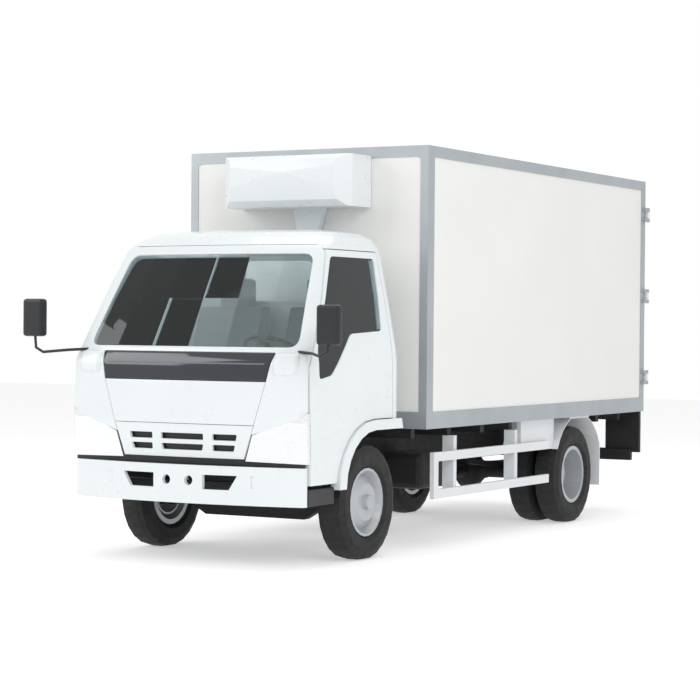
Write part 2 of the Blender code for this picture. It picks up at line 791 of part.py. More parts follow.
CROSS_MEMBER = 0.050
CAB_POST_D = 0.275
HINGE_PLATE_X = (0.190, 0.214)
HINGE_LUG_X = (0.217, 0.241)
HINGE_PIN_X = 0.225
HINGE_PIN_LENGTH = 0.050
HINGE_PIN_RADIUS = 0.008
HINGE_BOSS_RADIUS = 0.0155
CROSS_MEMBERS_D = (
    RAIL_FRONT_D + 0.045, GEARBOX_REAR_D + 0.150, 1.950, WHEELBASE - 0.660,
    min(WHEELBASE + 0.690, RAIL_REAR_D - 0.250), RAIL_REAR_D - 0.040,
)
BEARERS_D = (
    BOX_FRONT_D + 0.040, 1.250, 1.800, FENDER_PANEL_D - 0.100,
    min(WHEELBASE + 0.660, RAIL_REAR_D - 0.200), RAIL_REAR_D - 0.120,
)
BEARER_WIDTH = 0.060
BEARER_X = 0.860


def build_frame():
    """Two channel rails, cross members, the cab's rear posts and the plates of its hinge."""
    inner = RAIL_X - RAIL_FLANGE
    web = RAIL_X - RAIL_WALL
    channel = [
        (RAIL_X, RAIL_BOTTOM), (RAIL_X, RAIL_TOP), (inner, RAIL_TOP), (inner, RAIL_TOP - RAIL_WALL),
        (web, RAIL_TOP - RAIL_WALL), (web, RAIL_BOTTOM + RAIL_WALL), (inner, RAIL_BOTTOM + RAIL_WALL),
        (inner, RAIL_BOTTOM),
    ]
    length = (behind(RAIL_FRONT_D), behind(RAIL_REAR_D))
    frame = flat("Y", channel, length)
    right = mirrored(frame)
    for place in CROSS_MEMBERS_D:
        half = CROSS_MEMBER / 2
        bar = block(
            (-web - 0.002, web + 0.002), (behind(place) - half, behind(place) + half),
            (RAIL_BOTTOM + 0.020, RAIL_TOP - 0.020),
        )
        fuse(frame, bar)
    fuse(frame, right)
    for side in (1, -1):
        x = sorted((side * inner, side * RAIL_X))
        post = (behind(CAB_POST_D - 0.025), behind(CAB_POST_D + 0.025))
        fuse(frame, block(x, post, (RAIL_TOP - 0.003, DECK_TOP - DECK_THICKNESS - TOUCH)))
        x = sorted((side * HINGE_PLATE_X[0], side * HINGE_PLATE_X[1]))
        plate = (behind(TILT_D) - HINGE_PIN_RADIUS, behind(CROSS_MEMBERS_D[0]))
        fuse(frame, block(x, plate, (TILT_Z - 0.030, TILT_Z + 0.004)))
        pin = rod("X", (side * HINGE_PIN_X, behind(TILT_D), TILT_Z), HINGE_PIN_RADIUS, HINGE_PIN_LENGTH, 12)
        fuse(frame, pin)
    finish(frame, "frame", "chassis_black")


def build_subframe():
    """Two sills that lie on the rails, and the bearers across them that carry the box."""
    half = BEARER_WIDTH / 2
    bearers = [
        block(
            (-BEARER_X, BEARER_X), (behind(place) - half, behind(place) + half),
            (SILL_TOP - 0.004, BOX_BOTTOM - TOUCH),
        )
        for place in BEARERS_D
    ]
    subframe = bearers[0]
    for side in (1, -1):
        x = sorted((side * (RAIL_X - RAIL_FLANGE), side * RAIL_X))
        fuse(subframe, block(x, (behind(BOX_FRONT_D), behind(RAIL_REAR_D)), (RAIL_TOP + TOUCH, SILL_TOP)))
    fuse(subframe, *bearers[1:])
    finish(subframe, "subframe", "chassis_black")


def build_engine():
    engine = block((-0.250, 0.250), (behind(-0.340), behind(0.450)), (0.420, 0.860), 0.020)
    gearbox = block((-0.150, 0.150), (behind(0.430), behind(GEARBOX_REAR_D)), (0.420, 0.680), 0.015)
    reach = RAIL_X - RAIL_WALL - TOUCH
    mount = block((-reach, reach), (behind(-0.200), behind(-0.100)), (0.570, 0.640))
    fuse(engine, gearbox, mount)
    finish(engine, "engine_block", "cast_iron")


SPRING_X = (0.285, 0.350)
SPRING_THICKNESS = 0.040


def leaf_spring(middle_d, half_length, seat_z):
    """A leaf pack on its axle, bowed up to its two eyes under the rail."""
    eye_z = RAIL_BOTTOM - 0.030
    below, above = [], []
    for step in range(9):
        t = step / 4 - 1
        place = behind(middle_d + half_length * t)
        height = seat_z + (eye_z - seat_z - 0.020) * t * t
        below.append((place, height))
        above.append((place, height + SPRING_THICKNESS))
    leaves = flat("X", below + above[::-1], SPRING_X)
    for side in (-1, 1):
        place = behind(middle_d + side * (half_length - 0.020))
        hanger = block(SPRING_X, (place - 0.025, place + 0.025), (eye_z - 0.015, RAIL_BOTTOM - TOUCH))
        fuse(leaves, hanger)
    return leaves


def build_front_axle():
    """A dropped beam with an eye for each kingpin, and the leaf springs clamped to it."""
    z = TYRE_RADIUS
    half = [
        (0.000, z - 0.140), (0.400, z - 0.140), (0.520, z - 0.070), (KINGPIN_X - 0.020, z - 0.050),
        (KINGPIN_X - 0.020, z + 0.030), (0.500, z + 0.020), (0.390, z - 0.060), (0.000, z - 0.060),
    ]
    beam = flat("Y", half[:-1] + [(-x, h) for x, h in reversed(half[1:-1])], (behind(-0.035), behind(0.035)))
    for side in (1, -1):
        eye = rod("Z", (side * KINGPIN_X, behind(0), z - 0.010), 0.042, 0.080, 20)
        fuse(beam, eye)
        bore = rod("Z", (side * KINGPIN_X, behind(0), z), KINGPIN_RADIUS + RUNNING_GAP, 0.300, 20)
        cut(beam, bore)
    spring = leaf_spring(0.0, 0.600, z - 0.061)
    other = mirrored(spring)
    fuse(beam, spring, other)
    finish(beam, "front_axle", "chassis_black")


def build_knuckle():
    """Kingpin between two lugs, backing plate and spindle."""
    z, y = TYRE_RADIUS, behind(0)
    pin = rod("Z", (KINGPIN_X, y, z - 0.010), KINGPIN_RADIUS, 0.140, 16)
    for low, high in ((z - 0.085, z - 0.055), (z + 0.035, z + 0.065)):
        fuse(pin, block((KINGPIN_X - 0.035, KINGPIN_X + 0.075), (y - 0.035, y + 0.035), (low, high)))
    fuse(pin, block((KINGPIN_X + 0.052, KINGPIN_X + 0.075), (y - 0.050, y + 0.050), (z - 0.085, z + 0.065)))
    spindle_end = FRONT_WHEEL_X + 0.060
    middle = (KINGPIN_X + 0.060 + spindle_end) / 2
    fuse(pin, rod("X", (middle, y, z), SPINDLE_RADIUS, spindle_end - KINGPIN_X - 0.060, TYRE_SIDES))
    other = mirrored(pin)
    finish(pin, "knuckle_left", "cast_iron")
    finish(other, "knuckle_right", "cast_iron")


# Half of a tyre's section, from the bead out to the tread's middle. Columns: share of half the
# tyre's width, share of the height from the bead to the tread.
TYRE_SECTION = ((0.660, 0.000), (0.660, 0.135), (0.960, 0.300), (0.980, 0.680), (0.780, 0.960), (0.350, 1.000))


def tyre(x, y):
    half = []
    for across, up in TYRE_SECTION:
        radius = BEAD_RADIUS + TOUCH + (TYRE_RADIUS - BEAD_RADIUS - TOUCH) * up
        half.append((TYRE_WIDTH / 2 * across, radius))
    section = half + [(-u, r) for u, r in reversed(half)]
    return turned(section, x, TYRE_RADIUS, y)


HUB_RADIUS = 0.060
DRUM_RADIUS = 0.160


def barrel(middle):
    """The tyre's side of a rim, as (x, radius) points from its outer flange to its inner one."""
    bead = TYRE_WIDTH / 2 * TYRE_SECTION[0][0] + TOUCH
    return [
        (middle + RIM_HALF_WIDTH, RIM_RADIUS), (middle + bead, RIM_RADIUS), (middle + bead, BEAD_RADIUS),
        (middle - bead, BEAD_RADIUS), (middle - bead, RIM_RADIUS), (middle - RIM_HALF_WIDTH, RIM_RADIUS),
    ]


def turned_pair(profile, x, y, name):
    """The same turned rim on the left and, mirrored, on the right."""
    left = turned(profile, x, TYRE_RADIUS, y)
    right = mirrored(left)
    finish(left, f"{name}_left", "wheel_silver")
    finish(right, f"{name}_right", "wheel_silver")


def build_front_wheels():
    """A domed disc, a hub and a drum, in one turned profile."""
    profile = [
        (0.112, 0.0), (0.106, 0.045), (0.078, 0.054), (0.078, 0.125), (0.030, 0.186),
        (RIM_HALF_WIDTH, BEAD_RADIUS + 0.006), *barrel(0.0), (-RIM_HALF_WIDTH, BEAD_RADIUS - 0.010),
        (0.000, 0.182), (0.030, DRUM_RADIUS), (-0.055, DRUM_RADIUS), (-0.055, 0.148), (0.050, 0.140),
        (0.060, HUB_RADIUS), (-0.010, HUB_RADIUS), (-0.010, SPINDLE_RADIUS + RUNNING_GAP),
        (0.066, SPINDLE_RADIUS + RUNNING_GAP), (0.066, 0.0),
    ]
    turned_pair(profile, FRONT_WHEEL_X, behind(0), "front_rim")
    for side, name in ((1, "left"), (-1, "right")):
        finish(tyre(side * FRONT_WHEEL_X, behind(0)), f"front_tyre_{name}", "rubber")


def build_rear_wheels():
    """Two rims back to back on one hub and drum, and two tyres."""
    offset = TWIN_SPACING / 2
    reach = offset + RIM_HALF_WIDTH
    bearing = REAR_SPINDLE_RADIUS + RUNNING_GAP
    profile = [
        (0.110, 0.0), (0.110, 0.050), (0.014, 0.070), (0.014, 0.140), (0.050, 0.182), (reach, 0.200),
        *barrel(offset), *barrel(-offset),
        (-reach, 0.200), (-0.050, 0.184), (-0.050, DRUM_RADIUS), (-0.150, DRUM_RADIUS),
        (-0.150, DRUM_RADIUS - 0.012), (-0.020, DRUM_RADIUS - 0.012), (-0.020, 0.065), (-0.100, 0.065),
        (-0.100, bearing), (0.095, bearing), (0.095, 0.0),
    ]
    turned_pair(profile, REAR_WHEEL_X, behind(WHEELBASE), "rear_rims")
    for side, name in ((1, "left"), (-1, "right")):
        for place, row in ((REAR_WHEEL_X + offset, "outer"), (REAR_WHEEL_X - offset, "inner")):
            finish(tyre(side * place, behind(WHEELBASE)), f"rear_tyre_{row}_{name}", "rubber")


def build_rear_axle():
    """A banjo housing with its tubes, spindles and the leaf springs clamped on top."""
    z, y = TYRE_RADIUS, behind(WHEELBASE)
    reach = REAR_WHEEL_X + 0.085
    half = [
        (0.0, 0.150), (0.060, 0.140), (0.130, 0.070), (0.180, 0.055), (0.575, 0.055),
        (0.575, REAR_SPINDLE_RADIUS), (reach, REAR_SPINDLE_RADIUS),
    ]
    profile = [(reach, 0.0), *reversed(half), *[(-x, r) for x, r in half[1:]], (-reach, 0.0)]
    axle = turned(profile, 0, z, y)
    nose = rod("Y", (0, y - 0.170, z), 0.055, 0.160, 16)
    fuse(axle, nose)
    spring = leaf_spring(WHEELBASE, 0.640, z + 0.052)
    other = mirrored(spring)
    fuse(axle, spring, other)
    finish(axle, "rear_axle", "chassis_black")


def build_driveshaft():
    start = Vector((0, behind(GEARBOX_REAR_D) + TOUCH, 0.500))
    end = Vector((0, behind(WHEELBASE) - 0.250 - TOUCH, TYRE_RADIUS))
    shaft = tube([start + Vector((0, 0.030, 0)), end - Vector((0, 0.030, 0))], 0.036)
    for place, direction in ((start, 1), (end, -1)):
        fuse(shaft, rod("Y", place + Vector((0, direction * 0.020, 0)), 0.050, 0.040, 16))
    finish(shaft, "driveshaft", "chassis_black")


def build_tanks():
    """Fuel tank on the right rail, battery box on the left, each on its straps."""
    # Columns: name, finish, outer x, inner x, front and rear distance, bottom, top
    boxes = (
        ("fuel_tank", "chassis_black", -0.800, -0.420, 1.250, 2.050, 0.360, 0.660),
        ("battery_box", "chassis_black", 0.420, 0.760, 1.000, 1.500, 0.400, 0.660),
    )
    for name, finish_name, first, second, front, rear, bottom, top in boxes:
        body = block((first, second), (behind(front), behind(rear)), (bottom, top), 0.040)
        side = 1 if first > 0 else -1
        limits = sorted((side * (RAIL_X + TOUCH), side * 0.500))
        for place in (front + 0.120, rear - 0.120):
            strap = block(limits, (behind(place - 0.025), behind(place + 0.025)), (0.560, 0.640))
            fuse(body, strap)
        finish(body, name, finish_name)


GUARD_X = (0.905, 0.935)
GUARD_FRONT_D = 0.865
GUARD_REAR_D = WHEELBASE - TYRE_RADIUS - 0.104
GUARD_RAILS = ((0.350, 0.415), (0.615, 0.680))


def build_side_guards():
    guard = block(GUARD_X, (behind(GUARD_FRONT_D), behind(GUARD_REAR_D)), GUARD_RAILS[0])
    fuse(guard, block(GUARD_X, (behind(GUARD_FRONT_D), behind(GUARD_REAR_D)), GUARD_RAILS[1]))
    front = (behind(GUARD_FRONT_D) - 0.001, behind(GUARD_FRONT_D + 0.070))
    height = (GUARD_RAILS[0][0] - 0.001, GUARD_RAILS[1][1] + 0.001)
    fuse(guard, block((GUARD_X[0] - 0.001, GUARD_X[1] + 0.001), front, height))
    for place in (BEARERS_D[1], BEARERS_D[3]):
        post = block(
            (BEARER_X - 0.040, GUARD_X[0] + 0.005), (behind(place - 0.025), behind(place + 0.025)),
            (GUARD_RAILS[0][0] + 0.005, SILL_TOP - 0.004 - TOUCH),
        )
        fuse(guard, post)
    other = mirrored(guard)
    finish(guard, "side_guard_left", "guard_white")
    finish(other, "side_guard_right", "guard_white")


FENDER_X = (0.470, 0.952)
FENDER_RADIUS = 0.484
FENDER_MIDDLE_D = WHEELBASE + 0.070
FENDER_TOP = 0.846
FENDER_SHEET = 0.006
FLAP_BOTTOM = 0.270


def fender_ring(radius, top):
    """An arc over the twin wheels as (y, z) points, front to rear, flattened below the box."""
    turns = [radians(153 - 126 * step / 12) for step in range(13)]
    middle = behind(FENDER_MIDDLE_D)
    return [(middle + radius * cos(turn), min(TYRE_RADIUS + radius * sin(turn), top)) for turn in turns]


def build_rear_fenders():
    """A sheet over each twin wheel, a panel ahead of it, a mud flap behind it."""
    outer = fender_ring(FENDER_RADIUS + FENDER_SHEET, FENDER_TOP)
    inner = fender_ring(FENDER_RADIUS, FENDER_TOP - FENDER_SHEET)
    fender = flat("X", outer + inner[::-1], FENDER_X)
    rear_y, rear_z = outer[-1]
    panel = block(
        (GUARD_X[0] - 0.035 - TOUCH, GUARD_X[0] - TOUCH),
        (behind(FENDER_PANEL_D), outer[0][0] + 0.030), (0.610, FENDER_TOP),
    )
    middle = behind(FENDER_MIDDLE_D)
    seat = block(FENDER_X, (middle - 0.200, middle + 0.200), (FENDER_TOP - 0.004, BOX_BOTTOM - TOUCH))
    flap = block(FENDER_X, (rear_y - 0.012, rear_y), (FLAP_BOTTOM, rear_z + 0.020))
    fuse(fender, panel, seat, flap)
    other = mirrored(fender)
    finish(fender, "rear_fender_left", "guard_white")
    finish(other, "rear_fender_right", "guard_white")


# The bumper's openings, each also on the right. Columns: inner x, outer x, bottom, top, how far
# the outer end leans in below, how far back the cut goes.
BUMPER_OPENINGS = (
    (0.190, 0.445, 0.505, 0.600, 0.060, 0.200),
    (0.540, 0.754, 0.522, 0.603, 0.000, 0.048),
)
BRACKET_X = 0.315
TOW_HOLE_X = 0.0865
TOW_HOLE_RADIUS = 0.032


def bumper_bow(inset):
    """The bumper's front line seen from above, from the right's corner to the left's."""
    straight = BUMPER_HALF_WIDTH - BUMPER_CORNER
    front = BUMPER_FRONT_D + inset
    half = []
    for step in range(7):
        half.append((straight * step / 6, behind(front + BUMPER_SETBACK * (step / 6) ** 2)))
    corner = BUMPER_CORNER - inset
    for step in range(1, 5):
        turn = radians(90) * step / 4
        middle = behind(front + BUMPER_SETBACK) + corner
        half.append((straight + corner * sin(turn), middle - corner * cos(turn)))
    half.append((BUMPER_HALF_WIDTH - inset, behind(BUMPER_END_D)))
    return flipped(half[1:]) + half


def build_bumper():
    """A bowed shell with its ends turned back, cut by the openings and tow holes."""
    outline = bumper_bow(0.0) + bumper_bow(BUMPER_WALL)[::-1]
    bumper = flat("Z", outline, (BUMPER_BOTTOM, BUMPER_TOP))
    for inner_x, outer_x, bottom, top, lean, depth in BUMPER_OPENINGS:
        hole = [(inner_x, bottom), (outer_x - lean, bottom), (outer_x, top), (inner_x, top)]
        deep = (BEFORE_FACE, behind(BUMPER_FRONT_D + depth))
        cut(bumper, flat("Y", hole, deep), flat("Y", flipped(hole), deep))
    for x in (-TOW_HOLE_X, TOW_HOLE_X):
        cut(bumper, rod("Y", (x, behind(BUMPER_FRONT_D), 0.560), TOW_HOLE_RADIUS, 0.200, 16))
    cross_member = behind(CROSS_MEMBERS_D[0]) - CROSS_MEMBER / 2
    brackets = (behind(BUMPER_FRONT_D + BUMPER_WALL / 2), cross_member - TOUCH)
    for side in (1, -1):
        x = sorted((side * (BRACKET_X - 0.020), side * (BRACKET_X + 0.020)))
        fuse(bumper, block(x, brackets, (0.610, 0.650)))
    finish(bumper, "front_bumper", "cab_white")


def build_steps():
    """A step below each door, carried by one cross bar under the rails."""
    steps = block((-0.700, 0.700), (behind(-0.660), behind(-0.610)), (0.430, RAIL_BOTTOM - TOUCH))
    for side in (1, -1):
        x = sorted((side * 0.690, side * 0.900))
        fuse(steps, block(x, (behind(STEP_FRONT_D), behind(-ARCH_OUTER[0] - SHUT_GAP)), (0.410, 0.520), 0.008))
    finish(steps, "steps", "black_plastic")


def build_underrun():
    """A cross bar on two hangers, with a lamp panel at each end under the box's rear."""
    rear = behind(BOX_REAR_D)
    bar = block((-0.900, 0.900), (rear - 0.080, rear - 0.030), (0.430, 0.530), 0.008)
    for side in (1, -1):
        x = sorted((side * 0.300, side * 0.345))
        fuse(bar, block(x, (behind(RAIL_REAR_D) + TOUCH, rear - 0.050), (0.440, RAIL_TOP)))
        x = sorted((side * 0.660, side * 0.970))
        fuse(bar, block(x, (rear - 0.060, rear - 0.020), (0.500, BOX_BOTTOM - TOUCH)))
    finish(bar, "rear_underrun", "chassis_black")


PORTAL_X = BOX_HALF_WIDTH - 0.062
PORTAL_BOTTOM = BOX_BOTTOM + BOTTOM_RAIL
PORTAL_TOP = BOX_TOP - 0.085
PORTAL_HEIGHT = PORTAL_TOP - PORTAL_BOTTOM
CARGO_AXIS_X = BOX_HALF_WIDTH + CARGO_HINGE_STANDOFF
CARGO_AXIS_D = BOX_REAR_D + CARGO_HINGE_STANDOFF
HINGE_STRAP = 0.060
KNUCKLE_RADIUS = 0.011

# Heights of the straps and of the lock rods' keepers, as shares of the portal's height
HINGE_SHARES = (0.098, 0.492, 0.886)
KEEPER_SHARES = (0.048, 0.267, 0.689, 0.948)
HINGE_HEIGHTS = [PORTAL_BOTTOM + PORTAL_HEIGHT * share for share in HINGE_SHARES]
LOCK_RODS_X = (0.110, 0.780)


def build_box():
    """Five insulated panels in a cage of metal angles, with a portal at the rear."""
    front, rear = behind(BOX_FRONT_D), behind(BOX_REAR_D)
    x, skin = BOX_HALF_WIDTH, BOX_SKIN
    cage = block((-x, x), (front, rear), (BOX_BOTTOM, BOX_TOP))
    cut(cage, block((skin - x, x - skin), (front + skin, rear - skin), (BOX_BOTTOM + skin, BOX_TOP - skin)))
    post_rear = behind(BOX_REAR_D - PORTAL_DEPTH)
    across = (POST_FRONT - x, x - POST_FRONT)
    height = (BOX_BOTTOM + BOTTOM_RAIL, BOX_TOP - TOP_RAIL)
    cut(cage, block(WIDE, (front + POST_SIDE, post_rear), height))
    cut(cage, block(across, (front - 0.1, rear + 0.1), height))
    cut(cage, block(across, (front + POST_FRONT, post_rear), (BOX_BOTTOM - 0.1, BOX_TOP + 0.1)))
    portal = block((-x + 0.001, x - 0.001), (post_rear, rear - 0.0005), (BOX_BOTTOM + 0.001, BOX_TOP - 0.001))
    opening = ((-PORTAL_X, PORTAL_X), (front, rear + 0.1), (PORTAL_BOTTOM, PORTAL_TOP))
    cut(portal, block(*opening))
    fuse(cage, portal)
    cut(cage, block(*opening))
    add_cargo_hinges(cage)
    finish(cage, "box_frame", "aluminium")

    inside = skin + TOUCH
    back = post_rear - TOUCH
    wall = x - inside
    side = block((wall - BOX_WALL, wall), (front + inside, back), (BOX_BOTTOM + inside, BOX_TOP - inside))
    other = mirrored(side)
    finish(side, "box_side_left", "box_white")
    finish(other, "box_side_right", "box_white")
    reach = wall - BOX_WALL - TOUCH
    nose_rear = front + inside + BOX_WALL
    nose = block((-reach, reach), (front + inside, nose_rear), (BOX_BOTTOM + inside, BOX_TOP - inside))
    finish(nose, "box_front_wall", "box_white")
    length = (nose_rear + TOUCH, back)
    floor = block((-reach, reach), length, (BOX_BOTTOM + inside, BOX_BOTTOM + inside + BOX_WALL))
    finish(floor, "box_floor", "box_white")
    roof = block((-reach, reach), length, (BOX_TOP - inside - BOX_WALL, BOX_TOP - inside))
    finish(roof, "box_roof", "box_white")


def add_cargo_hinges(cage):
    """Brackets on the portal's corners, one above and one below each strap."""
    y = behind(CARGO_AXIS_D)
    for side in (1, -1):
        for height in HINGE_HEIGHTS:
            for low in (height - HINGE_STRAP / 2 - 0.031, height + HINGE_STRAP / 2 + 0.001):
                x = sorted((side * (BOX_HALF_WIDTH - 0.004), side * (CARGO_AXIS_X + 0.004)))
                fuse(cage, block(x, (y - 0.080, y - 0.006), (low, low + 0.030)))
                fuse(cage, rod("Z", (side * CARGO_AXIS_X, y, low + 0.015), KNUCKLE_RADIUS, 0.030, 8))


def build_cargo_doors():
    """Insulated leaves with strap hinges and two lock rods each."""
    rear = behind(BOX_REAR_D)
    y = behind(CARGO_AXIS_D)
    leaf = block(
        (0.003, PORTAL_X - SHUT_GAP), (rear - BOX_WALL, rear),
        (PORTAL_BOTTOM + SHUT_GAP, PORTAL_TOP - SHUT_GAP),
    )
    for height in HINGE_HEIGHTS:
        z = (height - HINGE_STRAP / 2, height + HINGE_STRAP / 2)
        fuse(leaf, block((0.680, PORTAL_X - 0.010), (rear - 0.001, rear + 0.016), z))
        fuse(leaf, block((PORTAL_X - 0.020, CARGO_AXIS_X), (rear + 0.006, rear + 0.016), z))
        fuse(leaf, rod("Z", (CARGO_AXIS_X, y, height), KNUCKLE_RADIUS, HINGE_STRAP, 8))
    reach = LOCK_STANDOFF + LOCK_ROD_RADIUS
    for x in LOCK_RODS_X:
        centre = (x, rear + reach, (PORTAL_BOTTOM + PORTAL_TOP) / 2)
        fuse(leaf, rod("Z", centre, LOCK_ROD_RADIUS, PORTAL_HEIGHT - 0.060, 8))
        for share in KEEPER_SHARES:
            height = PORTAL_BOTTOM + PORTAL_HEIGHT * share
            keeper = ((x - 0.030, x + 0.030), (rear - 0.001, rear + reach), (height - 0.025, height + 0.025))
            fuse(leaf, block(*keeper))
    other = mirrored(leaf)
    finish(leaf, "cargo_door_left", "box_white")
    finish(other, "cargo_door_right", "box_white")


def build_cooling_unit():
    """A rounded housing on the box's nose with a duct running down behind the cab."""
    back = behind(BOX_FRONT_D) - TOUCH
    front = back - UNIT_DEPTH + TOUCH
    plan = [
        (UNIT_HALF_WIDTH, back), (UNIT_HALF_WIDTH - 0.010, front + 0.110),
        (UNIT_HALF_WIDTH - 0.110, front + 0.015), (0.0, front),
    ]
    plan += [(-x, y) for x, y in reversed(plan[:-1])]
    section = [
        (back, UNIT_BOTTOM), (front + 0.090, UNIT_BOTTOM), (front + 0.030, UNIT_BOTTOM + 0.045),
        (front, UNIT_BOTTOM + 0.240), (front + 0.030, UNIT_TOP - 0.030), (front + 0.090, UNIT_TOP),
        (back, UNIT_TOP),
    ]
    unit = flat("Z", plan, (UNIT_BOTTOM, UNIT_TOP))
    common(unit, flat("X", section, (-0.600, 0.600)))
    narrow, foot = UNIT_BOTTOM - 0.160, BOX_BOTTOM + 0.045
    duct = [
        (-0.070, UNIT_BOTTOM + 0.010), (-0.040, narrow), (-0.040, foot),
        (0.130, foot), (0.130, narrow), (0.180, UNIT_BOTTOM + 0.010),
    ]
    fuse(unit, flat("Y", duct, (back - 0.060, back)))
    finish(unit, "fridge_unit", "cab_white")


build_frame()
build_subframe()
build_engine()
build_front_axle()
build_knuckle()
build_front_wheels()
build_rear_axle()
build_rear_wheels()
build_driveshaft()
build_tanks()
build_side_guards()
build_rear_fenders()
build_bumper()
build_steps()
build_underrun()
build_box()
build_cargo_doors()
build_cooling_unit()
build_cab()

# Bodies that move, as empties on their joints' axes. Columns: name, parent, place, pieces.
BODIES = (
    ("cab_tilt", None, (0, behind(TILT_D), TILT_Z), (
        "cab_front", "cowl_panel", "front_panel", "headlamp_left", "headlamp_right", "cab_back", "cab_roof",
        "cab_side_left", "cab_side_right", "windscreen", "rear_window", "cab_floor", "dashboard", "seat_driver", "seat_passenger",
        "mirror_left", "mirror_right")),
    ("steering_column", "cab_tilt", tuple(WHEEL_CENTRE), ("steering_wheel",)),
    ("left_door_hinge", "cab_tilt", (DOOR_HINGE_X, behind(DOOR_HINGE_D), 1.0), ("door_left", "door_glass_left")),
    ("right_door_hinge", "cab_tilt", (-DOOR_HINGE_X, behind(DOOR_HINGE_D), 1.0),
     ("door_right", "door_glass_right")),
    ("left_kingpin", None, (KINGPIN_X, behind(0), TYRE_RADIUS), ("knuckle_left",)),
    ("right_kingpin", None, (-KINGPIN_X, behind(0), TYRE_RADIUS), ("knuckle_right",)),
    ("left_front_hub", "left_kingpin", (FRONT_WHEEL_X, behind(0), TYRE_RADIUS),
     ("front_rim_left", "front_tyre_left")),
    ("right_front_hub", "right_kingpin", (-FRONT_WHEEL_X, behind(0), TYRE_RADIUS),
     ("front_rim_right", "front_tyre_right")),
    ("left_rear_hub", None, (REAR_WHEEL_X, behind(WHEELBASE), TYRE_RADIUS),
     ("rear_rims_left", "rear_tyre_outer_left", "rear_tyre_inner_left")),
    ("right_rear_hub", None, (-REAR_WHEEL_X, behind(WHEELBASE), TYRE_RADIUS),
     ("rear_rims_right", "rear_tyre_outer_right", "rear_tyre_inner_right")),
    ("left_cargo_hinge", None, (CARGO_AXIS_X, behind(CARGO_AXIS_D), 1.8), ("cargo_door_left",)),
    ("right_cargo_hinge", None, (-CARGO_AXIS_X, behind(CARGO_AXIS_D), 1.8), ("cargo_door_right",)),
)

pivots = {}
for name, parent, place, pieces in BODIES:
    pivot = bpy.data.objects.new(name, None)
    truck.objects.link(pivot)
    pivots[name] = pivot
    if parent:
        pivot.parent = pivots[parent]
        place = Vector(place) - pivots[parent].matrix_world.translation
    pivot.location = place
    bpy.context.view_layer.update()
    for piece in pieces:
        child = bpy.data.objects[piece]
        child.data.transform(Matrix.Translation(-pivot.matrix_world.translation))
        child.parent = pivot
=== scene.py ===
"""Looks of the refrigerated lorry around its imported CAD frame. Metres, +Z up, the truck faces -Y and
its left (driver's) side is +X. A distance whose name ends in _D is behind the front axle."""

from math import cos, pi, radians, sin

import bmesh
import bpy
import numpy as np
from mathutils import Matrix, Vector
from mathutils.geometry import delaunay_2d_cdt


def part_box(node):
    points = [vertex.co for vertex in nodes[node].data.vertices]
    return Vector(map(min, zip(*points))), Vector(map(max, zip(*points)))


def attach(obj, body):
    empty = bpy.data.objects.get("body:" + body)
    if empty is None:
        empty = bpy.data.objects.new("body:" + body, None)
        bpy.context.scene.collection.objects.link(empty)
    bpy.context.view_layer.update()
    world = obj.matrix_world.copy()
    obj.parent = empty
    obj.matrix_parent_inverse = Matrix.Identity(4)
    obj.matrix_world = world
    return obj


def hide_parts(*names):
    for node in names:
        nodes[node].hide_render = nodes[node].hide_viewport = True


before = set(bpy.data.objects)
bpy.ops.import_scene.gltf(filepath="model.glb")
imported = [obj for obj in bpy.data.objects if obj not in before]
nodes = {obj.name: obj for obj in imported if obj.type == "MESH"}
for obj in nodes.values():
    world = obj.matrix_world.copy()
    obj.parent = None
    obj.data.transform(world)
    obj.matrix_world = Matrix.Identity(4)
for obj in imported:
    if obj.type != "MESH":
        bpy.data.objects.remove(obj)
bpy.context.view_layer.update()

front_low, front_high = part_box("front_tyre_left")
FRONT_AXLE_Y = (front_low.y + front_high.y) / 2

SEAM = 0.003
STEP = 0.020
SHARP_ANGLE = 35
MERGE_DISTANCE = 0.00002
SPECULAR_IOR = 1.45


def behind(distance):
    return FRONT_AXLE_Y + distance


# Materials


def new_material(name, colour, roughness, metallic=0.0, coat=0.0):
    made = bpy.data.materials.new(name)
    made.use_nodes = True
    shader = made.node_tree.nodes["Principled BSDF"]
    shader.inputs["Base Color"].default_value = (*colour, 1)
    shader.inputs["Roughness"].default_value = roughness
    shader.inputs["Metallic"].default_value = metallic
    shader.inputs["Coat Weight"].default_value = coat
    shader.inputs["Coat Roughness"].default_value = 0.06
    shader.inputs["IOR"].default_value = SPECULAR_IOR
    return made, shader


def noise(made, scale, detail):
    """A noise texture in the piece's own coordinates."""
    tree = made.node_tree
    place = tree.nodes.new("ShaderNodeTexCoord")
    texture = tree.nodes.new("ShaderNodeTexNoise")
    texture.inputs["Scale"].default_value = scale
    texture.inputs["Detail"].default_value = detail
    tree.links.new(place.outputs["Object"], texture.inputs["Vector"])
    return texture.outputs["Fac"]


def ramp(made, value, stops):
    """Colours along a value. Stops hold (position, colour)."""
    node = made.node_tree.nodes.new("ShaderNodeValToRGB")
    elements = node.color_ramp.elements
    while len(elements) < len(stops):
        elements.new(0.5)
    for element, (position, colour) in zip(elements, stops):
        element.position = position
        element.color = (*colour, 1)
    made.node_tree.links.new(value, node.inputs["Fac"])
    return node.outputs["Color"]


def bump(made, shader, value, strength, distance):
    node = made.node_tree.nodes.new("ShaderNodeBump")
    node.inputs["Strength"].default_value = strength
    node.inputs["Distance"].default_value = distance
    made.node_tree.links.new(value, node.inputs["Height"])
    made.node_tree.links.new(node.outputs["Normal"], shader.inputs["Normal"])


def shaded(colour, share):
    return tuple(max(0.0, min(1.0, c * share)) for c in colour)


